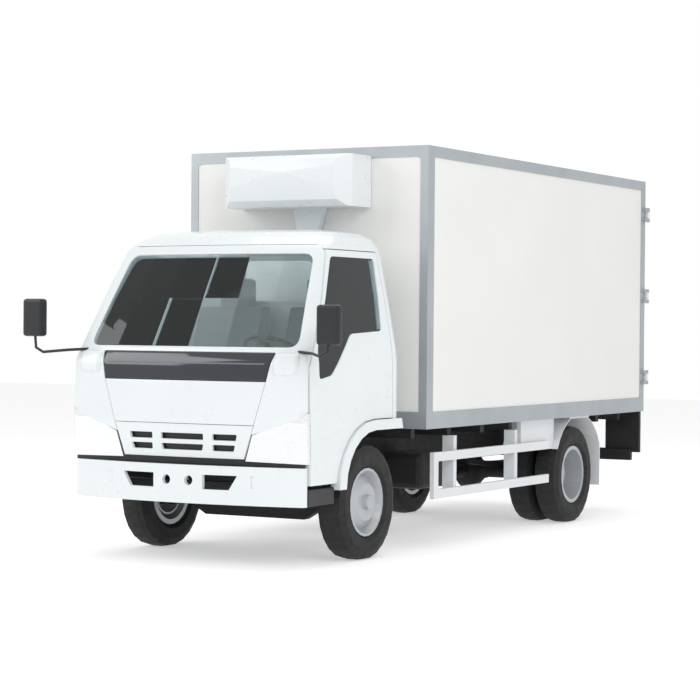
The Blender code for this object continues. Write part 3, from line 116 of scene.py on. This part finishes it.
def finish_of(name, colour, roughness, metallic=0.0, coat=0.0, spread=0.04, grain=400.0, depth=0.0002,
              strength=0.1, patches=2.5):
    """A painted or moulded surface: broad patches in colour and gloss, and a fine grain as bump."""
    made, shader = new_material(name, colour, roughness, metallic, coat)
    stops = [(0.30, shaded(colour, 1 - spread)), (0.70, shaded(colour, 1 + spread))]
    made.node_tree.links.new(ramp(made, noise(made, patches, 4.0), stops), shader.inputs["Base Color"])
    low, high = roughness * 0.88, min(1.0, roughness * 1.12)
    gloss = ramp(made, noise(made, patches * 3, 5.0), [(0.3, (low,) * 3), (0.7, (high,) * 3)])
    made.node_tree.links.new(gloss, shader.inputs["Roughness"])
    bump(made, shader, noise(made, grain, 2.0), strength, depth)
    return made


def woven(name, colour, thread):
    """Cloth: two crossed waves in colour and bump."""
    made, shader = new_material(name, colour, 0.9)
    shader.inputs["Sheen Weight"].default_value = 0.3
    tree = made.node_tree
    place = tree.nodes.new("ShaderNodeTexCoord")
    heights = []
    for direction in ("X", "Z"):
        wave = tree.nodes.new("ShaderNodeTexWave")
        wave.bands_direction = direction
        wave.inputs["Scale"].default_value = 0.16 / thread
        wave.inputs["Distortion"].default_value = 0.6
        tree.links.new(place.outputs["Object"], wave.inputs["Vector"])
        heights.append(wave.outputs["Fac"])
    both = tree.nodes.new("ShaderNodeMath")
    both.operation = "MULTIPLY"
    tree.links.new(heights[0], both.inputs[0])
    tree.links.new(heights[1], both.inputs[1])
    colours = ramp(made, both.outputs[0], [(0.0, shaded(colour, 0.75)), (0.6, shaded(colour, 1.15))])
    tree.links.new(colours, shader.inputs["Base Color"])
    bump(made, shader, both.outputs[0], 0.4, 0.0006)
    return made


def pane_of(name, stops):
    """Window glass: it lets light through tinted by height, and mirrors at a slant."""
    made = bpy.data.materials.new(name)
    made.use_nodes = True
    tree = made.node_tree
    tree.nodes.remove(tree.nodes["Principled BSDF"])
    clear = tree.nodes.new("ShaderNodeBsdfTransparent")
    gloss = tree.nodes.new("ShaderNodeBsdfGlossy")
    gloss.inputs["Color"].default_value = (0.90, 0.95, 0.96, 1)
    streaks = ramp(made, noise(made, 3.0, 4.0), [(0.4, (0.0,) * 3), (0.8, (0.02,) * 3)])
    tree.links.new(streaks, gloss.inputs["Roughness"])
    slant = tree.nodes.new("ShaderNodeFresnel")
    slant.inputs["IOR"].default_value = SPECULAR_IOR
    mix = tree.nodes.new("ShaderNodeMixShader")
    place = tree.nodes.new("ShaderNodeTexCoord")
    split = tree.nodes.new("ShaderNodeSeparateXYZ")
    tree.links.new(place.outputs["Object"], split.inputs["Vector"])
    tree.links.new(ramp(made, split.outputs["Z"], stops), clear.inputs["Color"])
    tree.links.new(slant.outputs["Fac"], mix.inputs["Fac"])
    tree.links.new(clear.outputs["BSDF"], mix.inputs[1])
    tree.links.new(gloss.outputs["BSDF"], mix.inputs[2])
    tree.links.new(mix.outputs["Shader"], tree.nodes["Material Output"].inputs["Surface"])
    return made


TINT = (0.93, 0.97, 0.97)
MATERIALS = {
    "cab_paint": finish_of("cab_paint", (0.78, 0.82, 0.835), 0.30, coat=0.4, spread=0.012, grain=900,
                           strength=0.03),
    "box_skin": finish_of("box_skin", (0.84, 0.84, 0.82), 0.45, spread=0.015, grain=60, depth=0.0006,
                          strength=0.08, patches=1.2),
    "aluminium": finish_of("aluminium", (0.40, 0.435, 0.455), 0.45, metallic=0.55, spread=0.06,
                           grain=300, strength=0.15),
    "guard_white": finish_of("guard_white", (0.76, 0.78, 0.80), 0.35, coat=0.2, spread=0.03, grain=700),
    "slate": finish_of("slate", (0.14, 0.17, 0.21), 0.50, spread=0.12),
    "black_plastic": finish_of("black_plastic", (0.013, 0.014, 0.016), 0.42, spread=0.2, grain=900,
                               strength=0.35),
    "tyre_rubber": finish_of("tyre_rubber", (0.013, 0.013, 0.014), 0.72, spread=0.25, grain=260,
                             strength=0.35, depth=0.0006, patches=6),
    "chassis_black": finish_of("chassis_black", (0.007, 0.007, 0.008), 0.60, spread=0.35, grain=180,
                               strength=0.35, depth=0.0006, patches=8),
    "cast_iron": finish_of("cast_iron", (0.020, 0.020, 0.020), 0.65, metallic=0.3, spread=0.3,
                           grain=240, strength=0.6, depth=0.0008, patches=7),
    "black_gloss": finish_of("black_gloss", (0.003, 0.006, 0.014), 0.10, coat=0.8, spread=0.2,
                             strength=0.02),
    "wheel_silver": finish_of("wheel_silver", (0.46, 0.48, 0.50), 0.40, metallic=0.45, spread=0.06,
                              grain=700, strength=0.12),
    "reflector": finish_of("reflector", (0.80, 0.81, 0.82), 0.16, metallic=0.85, spread=0.03, grain=70,
                           strength=0.7, depth=0.002),
    "interior_grey": finish_of("interior_grey", (0.115, 0.160, 0.185), 0.70, spread=0.10, grain=700,
                               strength=0.3),
    "seat_cloth": woven("seat_cloth", (0.10, 0.145, 0.165), 0.004),
    "side_glass": pane_of("side_glass", [(0.0, TINT), (1.0, TINT)]),
}

# The finish that CAD nodes shown as they are get for each of their slots
SLOT_FINISHES = {
    "cab_white": "cab_paint",
    "box_white": "box_skin",
    "rubber": "tyre_rubber",
    "lamp_lens": "reflector",
    "glass": "side_glass",
    "seat_fabric": "seat_cloth",
}


def dress_shown_nodes():
    for node in nodes.values():
        for slot in node.material_slots:
            name = slot.material.name.split(".")[0]
            slot.material = MATERIALS[SLOT_FINISHES.get(name, name)]


# Making pieces


def add(mesh, name):
    made = bpy.data.objects.new(name, mesh)
    bpy.context.scene.collection.objects.link(made)
    return made


def mesh_of(name, points, faces):
    """A mesh with its normals turned outwards and nothing loose."""
    mesh = bpy.data.meshes.new(name)
    mesh.from_pydata([tuple(p) for p in points], [], [tuple(f) for f in faces])
    form = bmesh.new()
    form.from_mesh(mesh)
    bmesh.ops.remove_doubles(form, verts=form.verts, dist=MERGE_DISTANCE)
    loose = [v for v in form.verts if not v.link_faces]
    bmesh.ops.delete(form, geom=loose, context="VERTS")
    bmesh.ops.recalc_face_normals(form, faces=form.faces)
    form.to_mesh(mesh)
    form.free()
    return mesh


def dress(piece, body, material, slot, *replaced):
    """Gives a piece its material, its body and the nodes it stands for, and shades it smooth."""
    piece.data.materials.clear()
    piece.data.materials.append(MATERIALS[material])
    piece.data.shade_smooth()
    piece.data.set_sharp_from_angle(angle=radians(SHARP_ANGLE))
    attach(piece, body)
    if replaced:
        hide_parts(*replaced)


def joined(pieces, name):
    """Several meshes as one piece."""
    form = bmesh.new()
    for piece in pieces:
        form.from_mesh(piece.data)
        bpy.data.objects.remove(piece)
    mesh = bpy.data.meshes.new(name)
    form.to_mesh(mesh)
    form.free()
    return add(mesh, name)


# Outlines


def rounded(outline, radius, steps=5):
    """The outline with round corners."""
    points = []
    for before, corner, after in zip(outline[-1:] + outline[:-1], outline, outline[1:] + outline[:1]):
        corner = Vector(corner)
        to_before, to_after = Vector(before) - corner, Vector(after) - corner
        start = corner + to_before.normalized() * min(radius, to_before.length * 0.45)
        end = corner + to_after.normalized() * min(radius, to_after.length * 0.45)
        for step in range(steps + 1):
            t = step / steps
            points.append(tuple(start * (1 - t) ** 2 + corner * 2 * t * (1 - t) + end * t ** 2))
    return points


def grown(outline, by):
    """The outline moved outwards, or inwards where by is negative."""
    area = sum(a[0] * b[1] - b[0] * a[1] for a, b in zip(outline, outline[1:] + outline[:1]))
    side = by if area > 0 else -by
    points = []
    for before, corner, after in zip(outline[-1:] + outline[:-1], outline, outline[1:] + outline[:1]):
        first = (Vector(corner) - Vector(before)).normalized()
        second = (Vector(after) - Vector(corner)).normalized()
        normal = Vector((first.y + second.y, -first.x - second.x)) / max(0.3, 1 + first.dot(second))
        points.append((corner[0] + normal.x * side, corner[1] + normal.y * side))
    return points


def flipped(outline):
    return [(-u, v) for u, v in reversed(outline)]


def symmetric(half):
    return half + [(-x, z) for x, z in reversed(half)]


def rectangle(u, v):
    return [(u[0], v[0]), (u[1], v[0]), (u[1], v[1]), (u[0], v[1])]


def dense(loop, step):
    """The loop with points no further apart than the step."""
    points = []
    for a, b in zip(loop, loop[1:] + loop[:1]):
        parts = max(1, int(np.ceil(np.hypot(b[0] - a[0], b[1] - a[1]) / step)))
        points += [(a[0] + (b[0] - a[0]) * k / parts, a[1] + (b[1] - a[1]) * k / parts)
                   for k in range(parts)]
    return points


def inside(points, loop):
    """Which points lie inside the loop."""
    x, y = points[:, 0:1], points[:, 1:2]
    a = np.array(loop)
    b = np.roll(a, -1, axis=0)
    crosses = (a[:, 1] > y) != (b[:, 1] > y)
    rise = np.where(np.abs(b[:, 1] - a[:, 1]) < 1e-12, 1e-12, b[:, 1] - a[:, 1])
    at = a[:, 0] + (y - a[:, 1]) * (b[:, 0] - a[:, 0]) / rise
    return (crosses & (x < at)).sum(axis=1) % 2 == 1


def distance_to(points, loops):
    """How far each point is from the nearest of the loops' lines."""
    nearest = np.full(len(points), np.inf)
    for loop in loops:
        a = np.array(loop)
        d = np.roll(a, -1, axis=0) - a
        length = np.maximum((d ** 2).sum(axis=1), 1e-12)
        offset = points[:, None, :] - a[None]
        t = np.clip((offset * d[None]).sum(axis=2) / length, 0, 1)
        away = np.linalg.norm(offset - t[..., None] * d[None], axis=2)
        nearest = np.minimum(nearest, away.min(axis=1))
    return nearest


def in_sheet(points, loops):
    keep = inside(points, loops[0])
    for hole in loops[1:]:
        keep &= ~inside(points, hole)
    return keep


def sheet(name, outline, place, thickness, holes=(), step=STEP, roll=0.003, lift=None):
    """A closed sheet cut from a surface. place(points, depth) maps flat (u, v) points into the
    truck, depth below the surface. Its edges are rolled back, and lift(points, edge distance)
    raises it."""
    loops = [dense(list(loop), step) for loop in (outline, *holes)]
    low, high = np.min(loops[0], axis=0), np.max(loops[0], axis=0)
    us = np.arange(low[0] + step / 2, high[0], step)
    vs = np.arange(low[1] + step / 2, high[1], step)
    grid = np.array([(u, v) for u in us for v in vs]).reshape(-1, 2)
    grid = grid[in_sheet(grid, loops)]
    if len(grid):
        grid = grid[distance_to(grid, loops) > max(step * 0.4, roll * 1.5)]
    points, edges = [], []
    for loop in loops:
        start = len(points)
        points += loop
        edges += [(start + k, start + (k + 1) % len(loop)) for k in range(len(loop))]
    if roll:
        for k, loop in enumerate(loops):
            for share in (0.3, 1.0):
                ring = np.array(grown(loop, roll * share * (1 if k else -1)))
                ring = ring[in_sheet(ring, loops)]
                ring = ring[distance_to(ring, loops) > roll * share * 0.8]
                points += [tuple(p) for p in ring]
    points += [tuple(p) for p in grid]
    flat, _, faces, *_ = delaunay_2d_cdt([Vector(p) for p in points], edges, [], 0, 1e-6)
    flat = np.array([tuple(p) for p in flat])
    faces = np.array([tuple(f) for f in faces])
    faces = faces[in_sheet(flat[faces].mean(axis=1), loops)]
    edge = distance_to(flat, loops)
    depth = np.zeros(len(flat))
    if roll:
        depth = roll * (1 - np.sqrt(np.clip(1 - (1 - np.clip(edge / roll, 0, 1)) ** 2, 0, 1)))
    if lift:
        depth = depth - lift(flat, edge)
    count = len(flat)
    solid = np.vstack([place(flat, depth), place(flat, np.full(count, thickness))])
    closed = [tuple(f) for f in faces] + [tuple(f[::-1] + count) for f in faces]
    used = {(int(f[k]), int(f[(k + 1) % 3])) for f in faces for k in range(3)}
    closed += [(b, a, a + count, b + count) for a, b in sorted(used) if (b, a) not in used]
    return add(mesh_of(name, solid, closed), name)


def sunk(place, by):
    """The surface by metres further in."""
    return lambda points, depth: place(points, depth + by)


def swell(height, width):
    """A lift that rises to its height over a width from the edge."""
    return lambda points, edge: height * np.sin(np.clip(edge / width, 0, 1) * pi / 2)


class Ring:
    """A body drawn as level sections, symmetric about the truck's middle. A point on it is (s, z):
    s runs from the middle of the front round the corner, along the left side and over the back.
    Section columns: height, half width, front and rear distance, setback of the corners, radius."""

    def __init__(self, sections, lengths, blend=0.018, rear_radius=0.045, relief=None):
        self.heights = np.array([row[0] for row in sections])
        self.columns = np.array([row[1:] for row in sections]).T
        self.front_length, self.corner_length, self.side_length, self.rear_length, self.back_length = lengths
        self.blend = blend
        self.rear_radius = rear_radius
        self.relief = relief
        self.half = sum(lengths)

    def level(self, z):
        """Half width, front, rear, setback and radius at each height, with rounded changes."""
        spread = np.linspace(-self.blend, self.blend, 9)
        around = np.clip(np.asarray(z)[..., None] + spread, self.heights[0], self.heights[-1])
        return [np.interp(around, self.heights, column).mean(axis=-1) for column in self.columns]

    def surface(self, s, z):
        width, front, rear, setback, radius = self.level(z)
        s = (s + self.half) % (2 * self.half) - self.half
        side = np.where(s < 0, -1.0, 1.0)
        a = np.abs(s)
        straight = width - radius
        t = np.clip(a / self.front_length, 0, 1)
        x, y = straight * t, front + setback * t ** 2
        turn = np.clip((a - self.front_length) / self.corner_length, 0, 1) * pi / 2
        x = x + radius * np.sin(turn)
        y = y + radius * (1 - np.cos(turn))
        start = self.front_length + self.corner_length
        t = np.clip((a - start) / self.side_length, 0, 1)
        y = y + t * (rear - self.rear_radius - front - setback - radius)
        start += self.side_length
        turn = np.clip((a - start) / self.rear_length, 0, 1) * pi / 2
        x = x - self.rear_radius * (1 - np.cos(turn))
        y = y + self.rear_radius * np.sin(turn)
        start += self.rear_length
        t = np.clip((a - start) / self.back_length, 0, 1)
        x = x - (width - self.rear_radius) * t
        return np.stack([side * x, behind(0) + y, z + 0 * x], axis=-1)

    def place(self, points, depth):
        s, z = points[:, 0], points[:, 1]
        step = 0.001
        along = self.surface(s + step, z) - self.surface(s - step, z)
        upward = self.surface(s, z + step) - self.surface(s, z - step)
        normal = np.cross(along, upward)
        normal /= np.linalg.norm(normal, axis=1)[:, None]
        here = self.surface(s, z)
        rise = self.relief(here) if self.relief else 0.0
        return here + normal * (rise - depth)[:, None]

    def front(self, x, z):
        """The (s, z) of a place seen from the front."""
        width, _, _, _, radius = (float(v) for v in self.level(z))
        straight = width - radius
        a = abs(x)
        if a <= straight:
            s = self.front_length * a / straight
        else:
            turn = float(np.arcsin(min(1.0, (a - straight) / radius)))
            s = self.front_length + self.corner_length * turn / (pi / 2)
        return (s if x >= 0 else -s, z)

    def side(self, y, z):
        """The (s, z) of a place on the left, given by its y."""
        width, front, rear, setback, radius = (float(v) for v in self.level(z))
        d = y - behind(0)
        start, end = front + setback + radius, rear - self.rear_radius
        if d < start:
            turn = float(np.arccos(np.clip(1 - (d - front - setback) / radius, -1, 1)))
            return (self.front_length + self.corner_length * turn / (pi / 2), z)
        share = min(1.0, (d - start) / (end - start))
        return (self.front_length + self.corner_length + self.side_length * share, z)

    def front_loop(self, outline, step=STEP):
        return [self.front(x, z) for x, z in dense(list(outline), step)]


# The cab's shape

REAR_D = 0.355
LOWER_Z = 0.540
DRIP_Z = 2.110
ROOF_Z = 2.220
FACE_LOW = 0.705

# Columns: height, half width, front and rear distance, setback of the corners, corner radius
CAB_SECTIONS = (
    (0.500, 0.918, -0.929, REAR_D, 0.050, 0.035),
    (0.720, 0.920, -0.938, REAR_D, 0.050, 0.035),
    (0.950, 0.920, -0.952, REAR_D, 0.050, 0.035),
    (1.210, 0.920, -0.952, REAR_D, 0.050, 0.035),
    (1.330, 0.920, -0.940, REAR_D, 0.050, 0.040),
    (1.420, 0.912, -0.895, REAR_D - 0.003, 0.060, 0.045),
    (1.750, 0.866, -0.710, REAR_D - 0.035, 0.062, 0.050),
    (2.060, 0.812, -0.530, REAR_D - 0.060, 0.065, 0.055),
    (DRIP_Z, 0.796, -0.490, REAR_D - 0.068, 0.068, 0.060),
    (2.165, 0.755, -0.425, REAR_D - 0.090, 0.080, 0.100),
    (2.200, 0.690, -0.340, REAR_D - 0.130, 0.080, 0.110),
    (ROOF_Z, 0.560, -0.220, REAR_D - 0.210, 0.060, 0.120),
)
CREASES = (0.966, 0.708)

# The seam ahead of the door (height, distance), then the face's edge (height, half width)
DOOR_SEAM = ((LOWER_Z, -0.838), (1.310, -0.866), (1.420, -0.802), (1.710, -0.640), (DRIP_Z, -0.425))
FACE_EDGE = ((FACE_LOW, 0.467), (0.925, 0.542), (1.210, 0.629), (1.395, 0.670))
LID_LOW = 0.925
COWL_LOW = 1.210
COWL_HIGH = 1.395
LAMP_LOW = 0.690
LAMP_INNER_HIGH = 0.862
LAMP_OUTER_HIGH = 1.012
LAMP_GAP = 0.010
CORNER_LOW = 0.872
SCREEN_CORNERS = [(0.818, 1.432), (0.722, 2.052)]
SCREEN_RADIUS = 0.075
CREASE_STEP = 0.004
CREASE_WIDTH = 0.003
CREASE_HIGH = 1.33

# Panel thicknesses, and how deep the dark backing lies behind them
CORNER_DEPTH = 0.030
LID_DEPTH = 0.020
GRILLE_DEPTH = 0.022
FACE_BACKING = 0.034
LAMP_BACKING = 0.075
SILL_BACKING = 0.014
BACKING_DEPTH = 0.006
BACKING_STEP = 0.05
LUMP_RISE = 0.024
LUMP_SLOPE = 0.022


def cab_relief(points):
    """The pressed lines along the doors: the side steps in above each crease, and out again higher."""
    x, y, z = points.T
    side = np.clip((np.abs(x) - 0.86) / 0.04, 0, 1)
    steps = sum(1 / (1 + np.exp((crease - z) / CREASE_WIDTH)) for crease in CREASES)
    return -CREASE_STEP * side * steps * np.clip((CREASE_HIGH - z) / 0.10, 0, 1)


cab = Ring(CAB_SECTIONS, (0.85, 0.09, 1.20, 0.07, 0.85), relief=cab_relief)


def seam_d(z):
    return float(np.interp(z, *zip(*DOOR_SEAM)))


def face_edge(z):
    return float(np.interp(z, *zip(*FACE_EDGE)))


def seam_line(low, high, gap):
    """The door seam's front edge as (s, z) from low to high, moved forwards by the gap."""
    return [cab.side(behind(seam_d(z) - gap), z) for z in np.linspace(low, high, 50)]


def face_outline(low, high, shrink):
    heights = [low] + [z for z, _ in FACE_EDGE if low < z < high] + [high]
    return grown(symmetric([(face_edge(z), z) for z in heights]), -shrink)


def lamp_point(across, up):
    """A place in the left headlamp: 0 to 1 from the grille out to the door, 0 to 1 upwards."""
    low = (Vector(cab.front(face_edge(LAMP_LOW) + LAMP_GAP, LAMP_LOW)),
           Vector(cab.side(behind(seam_d(LAMP_LOW) - SEAM), LAMP_LOW)))
    high = (Vector(cab.front(face_edge(LAMP_INNER_HIGH) + LAMP_GAP, LAMP_INNER_HIGH)),
            Vector(cab.side(behind(seam_d(LAMP_OUTER_HIGH) - SEAM), LAMP_OUTER_HIGH)))
    return tuple(low[0].lerp(low[1], across).lerp(high[0].lerp(high[1], across), up))


LAMP_EDGE = [(0.0, 0.0), (1.0, 0.0), (1.0, 1.0), (0.0, 1.0)]


# Cab panels


def build_cab_corners():
    lamp_top = [lamp_point(across, 1.0) for across in np.linspace(0, 1, 12)]
    outer = [(s, z + SEAM) for s, z in lamp_top]
    outer += seam_line(LAMP_OUTER_HIGH + 2 * SEAM, DRIP_Z - 0.001, SEAM)
    inner = [cab.front(face_edge(z) + SEAM, z) for z in np.linspace(CORNER_LOW, COWL_HIGH, 24)]
    top = [cab.front(x, COWL_HIGH + SEAM) for x in np.linspace(-0.66, 0.66, 50)]
    outline = outer + flipped(outer) + [(-s, z) for s, z in inner] + top + inner[::-1]
    screen = cab.front_loop(rounded(symmetric(SCREEN_CORNERS), SCREEN_RADIUS))
    corners = sheet("cab_corners", outline, cab.place, CORNER_DEPTH, [screen])
    dress(corners, "cab", "cab_paint", "cab_white", "cab_front")
    lump = rounded([(0.672, 1.292), (0.690, 1.250), (0.820, 1.250), (0.852, 1.295), (0.850, 1.392),
                    (0.676, 1.392)], 0.020)
    lumps = [sheet("lump", cab.front_loop(loop, 0.01), cab.place, 0.004, step=0.008, roll=0.004,
                   lift=swell(LUMP_RISE, LUMP_SLOPE)) for loop in (lump, flipped(lump))]
    dress(joined(lumps, "corner_fairings"), "cab", "cab_paint", "cab_white")


# The grille's slots. Columns: inner and outer x, bottom, top, lean of the outer end.
GRILLE_SLOTS = (
    (-0.165, 0.165, 0.822, 0.862, 0.000),
    (-0.165, 0.165, 0.752, 0.792, 0.010),
    (0.235, 0.420, 0.822, 0.862, 0.010),
    (0.235, 0.405, 0.752, 0.792, 0.012),
)


def build_face():
    lid = cab.front_loop(face_outline(LID_LOW + SEAM / 2, COWL_LOW - SEAM / 2, 0.0))
    grille = cab.front_loop(face_outline(FACE_LOW, LID_LOW - SEAM / 2, 0.0))
    slots = []
    for inner, outer, bottom, top, lean in GRILLE_SLOTS:
        near = inner + lean if inner < 0 else inner
        slot = rounded([(near, bottom), (outer - lean, bottom), (outer, top), (inner, top)], 0.008)
        slots.append(cab.front_loop(slot))
        if inner > 0:
            slots.append(cab.front_loop(flipped(slot)))
    panel = joined([
        sheet("lid", lid, cab.place, LID_DEPTH, step=0.025, roll=0.004),
        sheet("grille", grille, cab.place, GRILLE_DEPTH, slots, 0.016, roll=0.004),
    ], "front_lid")
    dress(panel, "cab", "cab_paint", "cab_white", "front_panel")
    cowl = cab.front_loop(face_outline(COWL_LOW + SEAM / 2, COWL_HIGH, 0.001))
    ledge = cab.front_loop(rounded(rectangle((-0.615, 0.615), (1.318, 1.328)), 0.004))
    dress(sheet("cowl", cowl, cab.place, LID_DEPTH), "cab", "black_gloss", "black_gloss", "cowl_panel")
    raised = sheet("cowl_ledge", ledge, sunk(cab.place, -0.002), 0.004, roll=0.002)
    dress(raised, "cab", "slate", "black_gloss")
    behind_face = cab.front_loop(face_outline(FACE_LOW + 0.004, COWL_HIGH - 0.004, -0.006))
    edge = [lamp_point(*p) for p in dense(LAMP_EDGE, 0.1)]
    sill = cab.front_loop(rectangle((-0.905, 0.905), (0.650, 0.703)))
    backs = [
        sheet("backing", loop, sunk(cab.place, depth), BACKING_DEPTH, step=BACKING_STEP, roll=0)
        for loop, depth in (
            (behind_face, FACE_BACKING),
            (edge, LAMP_BACKING),
            (flipped(edge), LAMP_BACKING),
            (sill, SILL_BACKING),
        )
    ]
    dress(joined(backs, "face_backing"), "cab", "black_plastic", "black_plastic")


# Stage

# Columns: place, aim, size, power
LAMPS = (
    ((10, -9, 8), (0, 0, 1.4), 7, 520),
    ((-9, -10, 7), (0, -1.5, 1.2), 7, 420),
    ((0, 1, 9), (0, 0, 1), 8, 260),
)
FLOOR_SIZE = 60.0
FLOOR_Z = -0.001
FLOOR_GLOW = 0.45
WORLD_SOFT = 0.55
WHITE = (1, 1, 1, 1)

# The camera. Angles are in degrees, and the focal length is in pixels of the photo's width.
CAMERA_PLACE = (7.7653, -14.4542, 1.5762)
CAMERA_AZIMUTH = 29.2254
CAMERA_PITCH = 0.6617
CAMERA_ROLL = 0.4715
FOCAL_LENGTH = 2129.45
PHOTO_WIDTH = 700
SENSOR_WIDTH = 36


def build_camera():
    azimuth, pitch, roll = radians(CAMERA_AZIMUTH), radians(CAMERA_PITCH), radians(CAMERA_ROLL)
    ahead = Vector((-sin(azimuth) * cos(pitch), cos(azimuth) * cos(pitch), -sin(pitch)))
    right = Vector((cos(azimuth), sin(azimuth), 0))
    up = right.cross(ahead)
    across = right * cos(roll) + up * sin(roll)
    upward = up * cos(roll) - right * sin(roll)
    data = bpy.data.cameras.new("camera")
    data.sensor_width = SENSOR_WIDTH
    data.lens = FOCAL_LENGTH / PHOTO_WIDTH * SENSOR_WIDTH
    data.clip_end = 200
    camera = bpy.data.objects.new("camera", data)
    turn = Matrix((across, upward, -ahead)).transposed().to_4x4()
    camera.matrix_world = Matrix.Translation(CAMERA_PLACE) @ turn
    bpy.context.scene.collection.objects.link(camera)
    bpy.context.scene.camera = camera


def seen_directly(tree):
    """1 for rays from the camera, off a mirror or through glass."""
    paths = tree.nodes.new("ShaderNodeLightPath")
    value = paths.outputs["Is Camera Ray"]
    for other in ("Is Glossy Ray", "Is Transmission Ray"):
        most = tree.nodes.new("ShaderNodeMath")
        most.operation = "MAXIMUM"
        tree.links.new(value, most.inputs[0])
        tree.links.new(paths.outputs[other], most.inputs[1])
        value = most.outputs[0]
    return value


def build_world():
    world = bpy.data.worlds.new("studio")
    world.use_nodes = True
    tree = world.node_tree
    soft = tree.nodes["Background"]
    soft.inputs["Color"].default_value = WHITE
    soft.inputs["Strength"].default_value = WORLD_SOFT
    white = tree.nodes.new("ShaderNodeBackground")
    white.inputs["Color"].default_value = WHITE
    white.inputs["Strength"].default_value = 1.0
    mix = tree.nodes.new("ShaderNodeMixShader")
    tree.links.new(seen_directly(tree), mix.inputs["Fac"])
    tree.links.new(soft.outputs["Background"], mix.inputs[1])
    tree.links.new(white.outputs["Background"], mix.inputs[2])
    tree.links.new(mix.outputs["Shader"], tree.nodes["World Output"].inputs["Surface"])
    bpy.context.scene.world = world


def build_floor():
    made, shader = new_material("studio_floor", (0.80, 0.80, 0.80), 0.9)
    tree = made.node_tree
    glow = tree.nodes.new("ShaderNodeEmission")
    glow.inputs["Strength"].default_value = FLOOR_GLOW
    mix = tree.nodes.new("ShaderNodeAddShader")
    tree.links.new(shader.outputs["BSDF"], mix.inputs[0])
    tree.links.new(glow.outputs["Emission"], mix.inputs[1])
    tree.links.new(mix.outputs["Shader"], tree.nodes["Material Output"].inputs["Surface"])
    half = FLOOR_SIZE / 2
    corners = [(x, y, FLOOR_Z) for x, y in rectangle((-half, half), (-half, half))]
    floor = add(mesh_of("floor", corners, [(0, 1, 2, 3)]), "floor")
    floor.data.materials.append(made)


def build_lamps():
    for k, (place, aim, size, power) in enumerate(LAMPS):
        data = bpy.data.lights.new(f"lamp_{k}", "AREA")
        data.size = size
        data.energy = power
        lamp = bpy.data.objects.new(f"lamp_{k}", data)
        ahead = (Vector(aim) - Vector(place)).normalized()
        lamp.matrix_world = Matrix.Translation(place) @ ahead.to_track_quat("-Z", "Y").to_matrix().to_4x4()
        bpy.context.scene.collection.objects.link(lamp)


dress_shown_nodes()
build_cab_corners()
build_face()
build_camera()
build_world()
build_floor()
build_lamps()
bpy.context.scene.view_settings.view_transform = "Standard"
